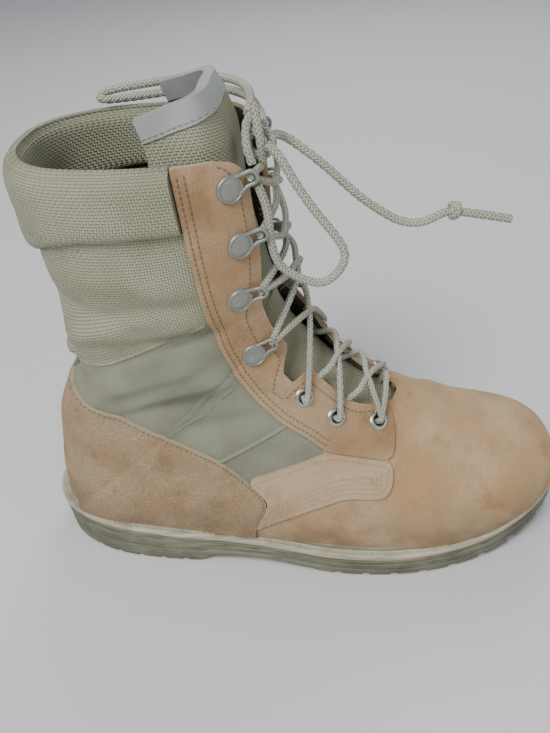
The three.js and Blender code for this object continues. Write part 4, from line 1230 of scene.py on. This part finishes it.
def build_upper():
    upper = copy_of(shape("outer"), "upper_shell")
    upper.hide_render = False
    inner = form("inner", lambda p: np.minimum(relief(p), LINING_LIMIT) - WALL, rows=230, columns=64)
    tip = float(SECTIONS[0][2]) - WALL
    cut(inner, block("toe", (tip, tip - BEHIND), (BEHIND, TOPLINE)))
    cut(upper, inner, below_welt(SEAM), throat(), above(TOPLINE), above_fabric(0))
    cut(upper, *eyelet_holes(EYELET_BORE + 1))
    upper = tidy_islands(upper)
    centre, _, distance = face_lean(upper)
    x, z = centre[:, 0], centre[:, 2]
    nylon = inside_outline(scaled(QUARTER), x, z)
    shaft = z > np.interp(x, *COARSE_FROM)
    paint_faces(upper, np.where(distance >= OUTSIDE_REACH, 2, np.where(nylon, np.where(shaft, 3, 1), 0)))
    return finish_piece(smooth(upper, 75), "suede", "vamp_suede fine_nylon lining coarse_nylon", "upper")


def overlay(name, *limits, holes=False):
    piece = cut(copy_of(shape("overlay_high"), name), shape("overlay_low"), keep=True)
    for how, cutter in limits:
        cut(piece, cutter, how=how)
    if holes:
        cut(piece, *eyelet_holes(EYELET_BORE + 1))
    piece.hide_render = False
    return tidy_islands(piece)


def dress_overlay(piece, slot, look, node):
    """Paints a piece's cut edges as raw suede."""
    _, lean, _ = face_lean(piece)
    paint_faces(piece, np.abs(lean) < 0.55)
    return finish_piece(smooth(piece, 50), slot, look + " raw_edge", node)


def build_overlays():
    counter = overlay(
        "heel_counter_suede",
        ("INTERSECT", prism("counter", COUNTER_LINE, -FAR, FAR)),
        ("DIFFERENCE", below_welt(BEAD_HEIGHT)),
    )
    dress_overlay(counter, "suede", "counter_suede", "heel_counter")
    for label, side in SIDES:
        reach = (-FAR, -1) if side < 0 else (1, FAR)
        stay = overlay(
            f"eyestay_{label}_suede",
            ("INTERSECT", prism("stay", EYESTAY_LINE, *reach)),
            ("DIFFERENCE", throat()),
            ("DIFFERENCE", above(CAP_TOP)),
            holes=True,
        )
        dress_overlay(stay, "brown_suede", "stay_suede", f"eyestay_{label}")
        saddle = overlay(
            f"saddle_{label}_suede",
            ("INTERSECT", prism("saddle", SADDLE_LINE, *reach)),
            ("DIFFERENCE", prism("a", grown(COUNTER_LINE, SEAM), *reach)),
            ("DIFFERENCE", prism("b", grown(EYESTAY_LINE, SEAM), *reach)),
        )
        dress_overlay(saddle, "suede", "saddle_suede", f"saddle_{label}")
    strip = form("backstay_tape", lambda p: relief(p) + SEAM + 0.7 * OVERLAY, rows=120, columns=40)
    cut(strip, shape("overlay_low"), keep=True)
    front = FRONT_OF_SHAFT - 0.55 * SHAFT_DEPTH
    only(strip, block("half", (BEHIND, front), (BACKSTAY_FOOT, AHEAD), (-BACKSTAY_HALF, BACKSTAY_HALF)))
    cut(strip, prism("c", grown(COUNTER_LINE, SEAM), -FAR, FAR))
    cut(strip, block("t", (BEHIND, 200), (CUFF_SEAM[1][1] * ANKLE_HEIGHT - 6, OVERHEAD)))
    finish_piece(smooth(tidy_islands(strip), 45), "nylon", "tape", "backstay")


def build_collar():
    low = lambda x: smooth_at(CUFF_LINE, x)

    def swell(p):
        t = np.clip((p[..., 2] - low(p[..., 0])) / (TOPLINE - low(p[..., 0])), 0, 1)
        return np.sqrt(np.maximum(1 - np.abs(2 * t - 1) ** 5, 0))

    def folds(p):
        """Gathers, strongest where the roll turns round the back, and a hollow where it is pinched."""
        back = np.clip((45 - p[..., 0]) / 40, 0, 1)
        high = np.clip((p[..., 2] - 190) / 45, 0, 1)
        pinch = np.exp(-(((p[..., 1] + 27) / 7) ** 2)) * back
        return soft_noise(p, 26, 9) * (0.6 + back) - 3.2 * pinch * high

    cuff = form("collar_padding", lambda p: 1 + CUFF_PADDING * swell(p) + folds(p), 17, LAST_ROW, 130, 44)
    inner = form("cuff_inner", lambda p: -2 - 0.9 * CUFF_PADDING * swell(p) + folds(p), 17, LAST_ROW, 110, 40)
    cut(cuff, inner)
    only(cuff, above_fabric(SEAM))
    cut(cuff, prism("d", grown(EYESTAY_LINE, SEAM + 0.5), -FAR, FAR), above(CAP_TOP))
    cuff = tidy_islands(cuff)
    centre, lean, _ = face_lean(cuff)
    paint_faces(cuff, (lean < -0.2) & (centre[:, 2] < TOPLINE - 0.75 * CUFF_HEIGHT))
    finish_piece(smooth(cuff, 50), "nylon", "coarse_nylon lining", "collar_cuff")


def tongue_half(s):
    rows = [(6.2, 0.5), (9, 0.6), (13, 0.85), (17, 1), (22, 1), (28, 0.86)]
    return smooth_at(rows, s) * TONGUE_WIDTH / 2


def tongue_shell(name, lip, first, last):
    """The tongue's padding, or a rim that stands out from it by a lip."""

    def level(extra):
        return lambda p: TONGUE_OUT - 0.9 - press(p) + extra + 0.9 * soft_noise(p * [1, 0.5, 1], 30, 12)

    out = form(name, level(lip), 6, LAST_ROW, 150, 44)
    cut(out, form("inner", level(-TONGUE_THICKNESS - lip), 6, LAST_ROW, 150, 44))
    return only(out, band("w", first, last, 40, TONGUE_REACH, tongue_half, tongue_half))


def tongue_height(x):
    """The tongue's slanted top."""
    return TOPLINE + TONGUE_RISE + TONGUE_SLOPE * (x - FRONT_OF_SHAFT)


def tongue_top(lift):
    x = np.array([FRONT_OF_SHAFT - SHAFT_DEPTH, FRONT_OF_SHAFT + SHAFT_DEPTH])
    z = tongue_height(x) + lift
    return prism("top", [(x[0], z[0]), (x[1], z[1]), (x[1], 600), (x[0], 600)], -FAR, FAR)


def build_tongue():
    tongue = tongue_shell("tongue_padding", 0, TONGUE_START, LAST_ROW - 0.1)
    cut(tongue, tongue_top(-BINDING_HEIGHT))
    tongue = tidy_islands(tongue)
    _, lean, _ = face_lean(tongue)
    paint_faces(tongue, lean < -0.2)
    finish_piece(smooth(tongue, 50), "nylon", "coarse_nylon lining", "tongue")
    rim = tongue_shell("tongue_rim", BINDING_LIP, 20, LAST_ROW - 0.1)
    cut(rim, tongue_top(0))
    only(rim, tongue_top(SEAM - BINDING_HEIGHT))
    finish_piece(smooth(tidy_islands(rim), 50), "binding", "binding_satin", "tongue_binding")


# Hooks and eyelets


def turned(profile, count, closed):
    """A profile of (radius, height) turned about +Z, row by row."""
    angle = np.linspace(0, 2 * math.pi, count, endpoint=closed)
    r, z = np.asarray(profile, float).T[..., None]
    return np.stack([r * np.cos(angle), r * np.sin(angle), z * np.ones(count)], -1) + [HEEL_CENTRE, 0, 0]


def throatwards(y):
    """The way from a hook or an eyelet to the throat."""
    return np.array([0.35, 1 if y < 0 else -1, 0.25])


def build_hook(node, point, normal, y):
    r, reach = CAP_RADIUS, HOOK_REACH
    profile = [
        (0.01, -0.8), (r * 0.7, -0.8), (r, -0.3), (r + 0.1, 0.5), (r - 0.1, 1.1), (r - 0.5, 1.45),
        (r - 0.9, 1.4), (r - 1.15, 1.1), (r - 1.4, 1.1), (r - 1.7, 1.35), (r * 0.4, 1.5), (0.01, 1.55),
    ]
    cap = loft(node + "_metal", turned(profile, 40, False))
    half = [(-1, 3.9, 0.4), (3.5, 3.6, 0.6), (0.6 * reach, 2.9, 1.0), (0.9 * reach, 2.6, 2.4)]
    bend = catmull([*half, (reach, 0, 3.4), *[(x, -out, z) for x, out, z in half[::-1]]], 60)
    wire = tube("wire", bend + [HEEL_CENTRE, 0, 0], HOOK_WIRE / 2, around=12, closed=False)
    active(cap)
    wire.select_set(True)
    bpy.ops.object.join()
    cap.data.transform(frame_matrix(point + normal * (OVERLAY + SEAM), normal, throatwards(y)))
    finish_piece(smooth(cap, 40), "hook_metal", "hook_paint", node)


def build_eyelet(node, point, normal):
    lift = OVERLAY + SEAM
    b, r = EYELET_BORE, EYELET_RADIUS
    profile = [
        (b, -WALL), (b + 0.6, -WALL), (b + 0.6, lift), (r, lift), (r + 0.05, lift + 0.35),
        (r - 0.5, lift + 0.95), (r - 1.2, lift + 1.15), (b + 0.6, lift + 0.85), (b + 0.1, lift + 0.2),
        (b, lift - 0.8), (b, -WALL),
    ]
    obj = grid(node + "_metal", turned(profile, 41, True))
    obj.data.transform(frame_matrix(point, normal, (1, 0, 0)))
    finish_piece(smooth(obj, 40), "eyelet_metal", "eyelet_nickel", node)


def build_hardware():
    for node, _, y, point, normal in places_of("hook"):
        build_hook(node, point, normal, y)
    for node, _, _, point, normal in places_of("eyelet"):
        build_eyelet(node, point, normal)


# Laces: places in millimetres from the back of the sole, read from the photo

BOW_DIAMETER = 4.0
BOW_SOFTENING = 60
# The braid's pitch, its strands and how deep they lie, as a share of the radius
BRAID = (3.8, 4, 0.09)
END_KNOT = (231, -2, 200.2)
KNOT_FOOT = (146, -17, 231.5)
KNOT_CENTRE = (146, -14, 240.5)
KNOT_WRAP = [(147, -18, 234.5), (147, -19.5, 242), (146, -18, 250), (145, -16, 258)]
KNOT_LEFT = [(143, -22, 234), (141, -19, 241), (141, -12, 248), (144, -8, 251)]
LOOP_FAR = [
    (141, -6, 250), (141, 10, 252), (136, 28, 253), (122, 43, 253), (104, 47, 252), (86, 45, 251),
    (72, 43, 250), (64, 40, 248.5), (66, 36.5, 247), (78, 40, 246.5), (92, 44, 246.5),
    (108, 46.5, 247), (124, 42, 247.5), (138, 27, 247.5), (145, 8, 246), (147, -4, 245),
]
LOOP_NEAR = [
    (149.5, -20.5, 242), (154.5, -22, 237), (160.5, -24, 226), (168, -25, 214), (176, -26, 203),
    (181, -27, 194), (178, -27, 185), (170, -27, 179), (160, -28, 183), (152, -29, 190), (149, -30, 201),
    (148.5, -30, 216), (147.5, -30.5, 222), (145.5, -31, 229),
]
END_NEAR = [
    (152.2, -10.5, 242.5), (157, -3, 238), (172, -2, 225), (186, -2, 211), (197, -2, 202), (207, -2, 196),
    (217, -2, 195), (227, -2, 200), (231, -2, 200), (242, -2, 198), (257, -2, 195),
]


def lace(name, points, radius=LACE_DIAMETER / 2, soften=0):
    """A braided tube through a few points, and its centre line."""
    line = catmull(points, 40)
    length = np.linalg.norm(np.diff(line, axis=0), axis=1).sum()
    line = catmull(points, max(12, int(length / 0.5)))
    for _ in range(soften):
        line[1:-1] = (line[:-2] + 2 * line[1:-1] + line[2:]) / 4
    return tube(name, line, radius, around=20, closed=False, braid=BRAID), line


def join(name, *objs):
    active(objs[0])
    for obj in objs:
        obj.select_set(True)
    bpy.ops.object.join()
    objs[0].name = name
    return objs[0]


def lace_ends(turn, under_edge=False):
    """The points of a lace's turn at a hook or an eyelet, from the middle outwards."""
    name, _, y, point, normal = turn
    inward = throatwards(y)
    inward = inward - normal * (inward @ normal)
    inward /= np.linalg.norm(inward)
    if name.startswith("hook"):
        return [point + inward * (HOOK_REACH - 2.6) + normal * 3.4]
    if under_edge:
        return [point - normal * (WALL + 1.9) + inward * 0.2, point - normal * (WALL + 2.1) + inward * 6]
    return [
        point - normal * (WALL + 1.5) + inward * 0.3,
        point + normal * (OVERLAY + 0.2) - inward * 0.4,
        point + normal * (OVERLAY + 2.6) + inward * 1.6,
    ]


def lace_run(a, b):
    """A lace across the tongue from one turn to another."""
    (_, sa, ya, _, _), (_, sb, yb, _, _) = a, b
    middle = []
    for t in (0.3, 0.5, 0.7):
        point, normal = point_out(sa + (sb - sa) * t, ya + (yb - ya) * t)
        middle.append(point + normal * (LACE_LIFT - 1 - 2.6 * t * (1 - t) * float(press(point))))
    return lace("run", lace_ends(a) + middle + lace_ends(b, under_edge=True)[::-1])[0]


def build_knot():
    angle = np.linspace(0, 2 * math.pi, 30, endpoint=False)
    turn = math.pi / 2 - 0.5
    flat = 1.6 * LACE_DIAMETER * np.stack([np.cos(angle), np.sin(angle), 0 * angle], -1)
    tilt = np.array([[1, 0, 0], [0, math.cos(turn), -math.sin(turn)], [0, math.sin(turn), math.cos(turn)]])
    ring_line = flat @ tilt.T + KNOT_CENTRE
    lines = {"ring": np.vstack([ring_line, ring_line[:1]]), "wrap": KNOT_WRAP, "left": KNOT_LEFT}
    parts = [lace(name, line, radius=BOW_DIAMETER / 2)[0] for name, line in lines.items()]
    finish_piece(join("bow_knot", *parts), "lace", "lace_cord", "lace_knot")


def build_end_knot():
    coil = [
        np.array(END_KNOT) + [1.6 * math.cos(a * 2.4), 2.6 * math.cos(a), 2.9 * math.sin(a)]
        for a in np.linspace(0, 9.4, 22)
    ]
    return finish_piece(lace("end_knot", coil, radius=1.55)[0], "lace", "lace_cord")


def build_cord(name, points, node, make_pieces=tuple):
    """A loose cord along its path."""
    obj, line = lace(name, points, radius=BOW_DIAMETER / 2, soften=BOW_SOFTENING)
    finish_piece(obj, "lace", "lace_cord", node)
    pieces = make_pieces()
    path = to_scene(line)


def build_laces():
    turns = {}
    for label, _ in SIDES:
        rows = [one for one in places_of("hook") + places_of("eyelet") if f"_{label}_" in one[0]]
        turns[label] = dict(enumerate(rows, 1))
    last = len(turns["lateral"])
    pieces = [lace_run(turns["lateral"][last], turns["medial"][last])]
    for i in range(last, 1, -1):
        pieces.append(lace_run(turns["lateral"][i], turns["medial"][i - 1]))
        pieces.append(lace_run(turns["medial"][i], turns["lateral"][i - 1]))
    foot = np.array(KNOT_FOOT, float)
    for label, _ in SIDES:
        start = lace_ends(turns[label][1])[-1]
        pieces.append(lace("tie", [start, (start + foot) / 2 + [1, 0, 1], foot])[0])
    finish_piece(join("lace_runs", *pieces), "lace", "lace_cord", "lace_crossings")
    build_knot()
    build_cord("bow_loop_far", LOOP_FAR, "lace_loop_far")
    build_cord("bow_loop_near", LOOP_NEAR, "lace_loop_near")
    build_cord("bow_end_near", END_NEAR, "lace_end_near", lambda: (build_end_knot(),))


# Stitches


def resample(line, pitch):
    """Places along a line, a pitch apart."""
    line = np.asarray(line, float)
    return read_along(line, np.arange(pitch / 2, run_of(line)[-1], pitch))


def stitches(name, tracks, look, slot, length=2.1, radius=0.36):
    """Thread ends laid along tracks of (point, normal, direction), copied from one modelled stitch."""
    deselect()
    bpy.ops.mesh.primitive_uv_sphere_add(segments=8, ring_count=6, radius=1)
    one = bpy.context.object
    one.data.transform(Matrix.Diagonal((length / 2 * MM, radius * MM, radius * 0.8 * MM, 1)))
    base = read(one.data.vertices, "co", width=3)
    faces = [tuple(p.vertices) for p in one.data.polygons]
    drop(one)
    verts, polys = [], []
    for point, normal, direction in tracks:
        m = np.array(frame_matrix(point, normal, direction))
        offset = len(verts) * len(base)
        verts.append(base @ m[:3, :3].T + m[:3, 3])
        polys.extend(tuple(i + offset for i in f) for f in faces)
    mesh = bpy.data.meshes.new(name)
    mesh.from_pydata(np.concatenate(verts).tolist(), [], polys)
    obj = bpy.data.objects.new(name, mesh)
    bpy.context.collection.objects.link(obj)
    finish_piece(smooth(obj, 60), slot, look)


def direction_at(points, i):
    return points[min(i + 1, len(points) - 1)] - points[max(i - 1, 0)]


def side_tracks(obj, line, pitch, side):
    """Places on a piece under a side-view line."""
    points = resample(line, pitch)
    found = []
    for i, (x, z) in enumerate(points):
        start = Vector(to_scene((x, side * FAR, z)))
        hit = tree_of(obj).ray_cast(start, Vector((0, -side, 0)))
        if hit[0] is None or hit[0].y * side < 0.004 or hit[1].y * side < 0.05:
            continue
        normal = np.array(hit[1])
        dx, dz = direction_at(points, i)
        point = np.array(hit[0]) / MM + [HEEL_CENTRE, 0, 0]
        found.append((point + normal * 0.12, normal, (dx, 0, dz)))
    return found


def open_part(line, test):
    """The stretch of a closed outline that passes a test, as one line."""
    closed = np.vstack([line, line[:1]])
    dense = resample(closed, 0.8)
    keep = test(dense)
    start = int(np.argmin(keep)) if not keep.all() else 0
    dense, keep = np.roll(dense, -start, 0), np.roll(keep, -start)
    return dense[keep]


def outline_tracks(obj, outline, inset, pitch, side, test):
    """Places on a piece inside its outline, where they pass a test."""
    return side_tracks(obj, open_part(grown(outline, -inset), test), pitch, side)


def throat_tracks(stay, side):
    """One row along an eyestay's front edge."""
    row = np.arange(THROAT_START + 0.3, LAST_ROW, 0.12)
    points = np.array([point_out(s, side * (gap_at(s, side) + 2.2))[0] for s in row])
    found = []
    for a in resample(points, STITCH_PITCH):
        hit = tree_of(stay).find_nearest(Vector(to_scene(a)), 4 * MM)
        if hit[0] is None or a[2] >= TOPLINE - 1:
            continue
        normal = form_normals(np.array([a]))[0][0]
        place = a + normal * (float(relief(a)) + OVERLAY + SEAM + 0.1)
        nearest = int(np.argmin(np.linalg.norm(points - a, axis=1)))
        found.append((place, normal, direction_at(points, nearest)))
    return found


def build_tapes(upper, side, label):
    """The narrow tapes and the seam on the nylon."""
    for name, (line, half, look) in TAPES.items():
        places = side_tracks(upper, catmull(scaled(line), 60), 1.6, side)
        sunk = np.array([point - 0.3 * normal for point, normal, _ in places])
        finish_piece(tube(f"{name}_{label}", sunk, half, closed=False), "nylon", look)


def build_stitches():
    objs = bpy.data.objects
    plain, dark, nylon = [], [], []
    upper = objs["upper_shell"]
    for label, side in SIDES:
        over_welt = lambda p: (p[:, 1] > 0.17 * ANKLE_HEIGHT) & (p[:, 0] > 2)
        counter = objs["heel_counter_suede"]
        dark += outline_tracks(counter, COUNTER_LINE, 1.3, 2.7, side, over_welt)
        plain += outline_tracks(counter, COUNTER_LINE, 4.2, 2.7, side, over_welt)
        stay = objs[f"eyestay_{label}_suede"]
        rear = lambda p: (p[:, 1] < TOPLINE - 1) & (p[:, 0] < 0.56 * SOLE_LENGTH)
        for inset in (2.2, 5.0):
            dark += outline_tracks(stay, EYESTAY_LINE, inset, STITCH_PITCH, side, rear)
        low = lambda p: (p[:, 1] < 0.56 * ANKLE_HEIGHT) & (p[:, 0] > 0.55 * SOLE_LENGTH)
        plain += outline_tracks(stay, EYESTAY_LINE, 2.2, STITCH_PITCH, side, low)
        saddle = objs[f"saddle_{label}_suede"]
        bottom = lambda p: p[:, 1] < np.interp(p[:, 0], [130, 158, 179, 205], [34, 48, 57, 57]) + 13.5
        for inset in (3.2, 6.0, 8.8, 11.6):
            plain += outline_tracks(saddle, SADDLE_LINE, inset, 2.4, side, bottom)
        ridge = lambda p: p[:, 1] > 0.33 * ANKLE_HEIGHT
        plain += outline_tracks(saddle, SADDLE_LINE, 2.2, STITCH_PITCH, side, ridge)
        dark += throat_tracks(stay, side)
        x = np.linspace(2, 119, 60)
        for below in (4.0, 6.4):
            nylon += side_tracks(upper, np.stack([x, smooth_at(CUFF_LINE, x) - below], -1), 3.4, side)
        x = np.linspace(95, 150, 50)
        binding = np.stack([x, tongue_height(x) - BINDING_HEIGHT + 2], -1)
        nylon += side_tracks(objs["tongue_rim"], binding, 2.6, side)
        build_tapes(upper, side, label)
    for look, rows in (("thread", plain), ("thread_dark", dark), ("thread_nylon", nylon)):
        stitches("stitching_" + look, rows, look, "brown_suede")
    path = sole_path(WELT_WIDTH - 4.3, -0.35, 520)
    spaced = resample(np.vstack([path, path[:1]]), 3.6)
    around = [(p, (0, 0, 1), spaced[(i + 1) % len(spaced)] - p) for i, p in enumerate(spaced)]
    stitches("welt_stitching", around, "welt_rubber", "welt_rubber", length=2.7, radius=0.6)


# Stage


# Each light's place, size in metres and power in watts
LIGHTS = {
    "key_light": ((-0.45, -0.9, 1.5), 0.7, 27),
    "fill_light": ((1.3, -0.8, 0.9), 1.2, 5),
    "rim_light": ((0.3, 1.2, 1.2), 0.8, 8),
}
LIT_PLACE = Vector((0.1, 0, 0.1))
SKY_COLOUR = (0.86, 0.9, 1.0, 1)
SKY_STRENGTH = 0.37
# The photo's camera: its turn, tilt and roll in degrees, what it looks at, how far off, and its lens
CAMERA_TURNS = (6.72, 37.34, -5.29)
CAMERA_TARGET = Vector((0.097, 0, 0.1111))
CAMERA_DISTANCE = 0.3834
CAMERA_LENS = 34.38


def build_lights():
    for name, (place, size, power) in LIGHTS.items():
        deselect()
        bpy.ops.object.light_add(type="AREA", location=place)
        light = bpy.context.object
        light.name = name
        light.data.size = size
        light.data.energy = power
        light.rotation_euler = (LIT_PLACE - Vector(place)).to_track_quat("-Z", "Y").to_euler()
    world = bpy.context.scene.world or bpy.data.worlds.new("soft")
    bpy.context.scene.world = world
    world.use_nodes = True
    sky = world.node_tree.nodes["Background"].inputs
    sky[0].default_value = SKY_COLOUR
    sky[1].default_value = SKY_STRENGTH


def build_camera():
    yaw, pitch, roll = [math.radians(angle) for angle in CAMERA_TURNS]
    back = Vector((math.sin(yaw) * math.cos(pitch), -math.cos(yaw) * math.cos(pitch), math.sin(pitch)))
    level = (-back).cross(Vector((0, 0, 1))).normalized()
    over = level.cross(-back)
    right = math.cos(roll) * level + math.sin(roll) * over
    up = -math.sin(roll) * level + math.cos(roll) * over
    deselect()
    bpy.ops.object.camera_add(location=CAMERA_TARGET + back * CAMERA_DISTANCE)
    camera = bpy.context.object
    camera.name = "photo_camera"
    camera.rotation_euler = Matrix((right, up, back)).transposed().to_euler()
    camera.data.lens = CAMERA_LENS
    camera.data.sensor_width = 36
    camera.data.sensor_fit = "AUTO"
    camera.data.clip_start = 0.01
    bpy.context.scene.camera = camera


def build_stage():
    deselect()
    bpy.ops.mesh.primitive_plane_add(size=6)
    floor = bpy.context.object
    floor.name = "floor"
    floor.data.materials.append(material("floor_plain"))
    floor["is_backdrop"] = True
    build_lights()
    build_camera()


class BootSettings(bpy.types.PropertyGroup):
    crease_depth: bpy.props.FloatProperty(
        name="Crease depth",
        description="How deep the folds are, as a share of the photo's",
        default=1.0,
        min=0.0,
        max=2.0,
    )


class BOOT_OT_sole(bpy.types.Operator):
    """Build the outsole, midsole, welt and bead"""

    bl_idname = "boot.sole"
    bl_label = "Sole"

    def execute(self, context):
        build_sole()
        return {"FINISHED"}


class BOOT_OT_upper(bpy.types.Operator):
    """Build the creased upper"""

    bl_idname = "boot.upper"
    bl_label = "Upper"

    def execute(self, context):
        build_upper()
        return {"FINISHED"}


class BOOT_OT_overlays(bpy.types.Operator):
    """Build the counter, eyestays, saddles and backstay"""

    bl_idname = "boot.overlays"
    bl_label = "Overlays"

    def execute(self, context):
        build_overlays()
        return {"FINISHED"}


class BOOT_OT_collar(bpy.types.Operator):
    """Build the padded collar and the tongue with its binding"""

    bl_idname = "boot.collar"
    bl_label = "Collar and tongue"

    def execute(self, context):
        build_collar()
        build_tongue()
        return {"FINISHED"}


class BOOT_OT_hardware(bpy.types.Operator):
    """Build the speed hooks and eyelets"""

    bl_idname = "boot.hardware"
    bl_label = "Hooks and eyelets"

    def execute(self, context):
        build_hardware()
        return {"FINISHED"}


class BOOT_OT_laces(bpy.types.Operator):
    """Run the braided lace through the eyelets and hooks and tie it"""

    bl_idname = "boot.laces"
    bl_label = "Laces"

    def execute(self, context):
        build_laces()
        return {"FINISHED"}


class BOOT_OT_stitches(bpy.types.Operator):
    """Lay the seams' stitches"""

    bl_idname = "boot.stitches"
    bl_label = "Stitches"

    def execute(self, context):
        build_stitches()
        drop(*SHAPES.values())
        SHAPES.clear()
        TREES.clear()
        return {"FINISHED"}


class BOOT_OT_stage(bpy.types.Operator):
    """Place the floor, the lights and the photo's camera"""

    bl_idname = "boot.stage"
    bl_label = "Stage"

    def execute(self, context):
        build_stage()
        return {"FINISHED"}


class BOOT_PT_panel(bpy.types.Panel):
    bl_label = "Combat boot"
    bl_idname = "BOOT_PT_panel"
    bl_space_type = "VIEW_3D"
    bl_region_type = "UI"
    bl_category = "Boot"

    def draw(self, context):
        self.layout.prop(context.scene.boot, "crease_depth")
        for one in OPERATORS:
            self.layout.operator(one.bl_idname)


OPERATORS = (
    BOOT_OT_sole,
    BOOT_OT_upper,
    BOOT_OT_overlays,
    BOOT_OT_collar,
    BOOT_OT_hardware,
    BOOT_OT_laces,
    BOOT_OT_stitches,
    BOOT_OT_stage,
)


def register():
    for one in (BootSettings, *OPERATORS, BOOT_PT_panel):
        bpy.utils.register_class(one)
    bpy.types.Scene.boot = bpy.props.PointerProperty(type=BootSettings)


def unregister():
    del bpy.types.Scene.boot
    for one in reversed((BootSettings, *OPERATORS, BOOT_PT_panel)):
        bpy.utils.unregister_class(one)


def plain(box):
    return [[float(x) for x in row] for row in box]


def main():
    register()
    for one in OPERATORS:
        group_name, name = one.bl_idname.split(".")
        getattr(getattr(bpy.ops, group_name), name)()
    {"cad": plain(CAD_BOX), "visual": plain(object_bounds())}


if __name__ == "__main__":
    main()
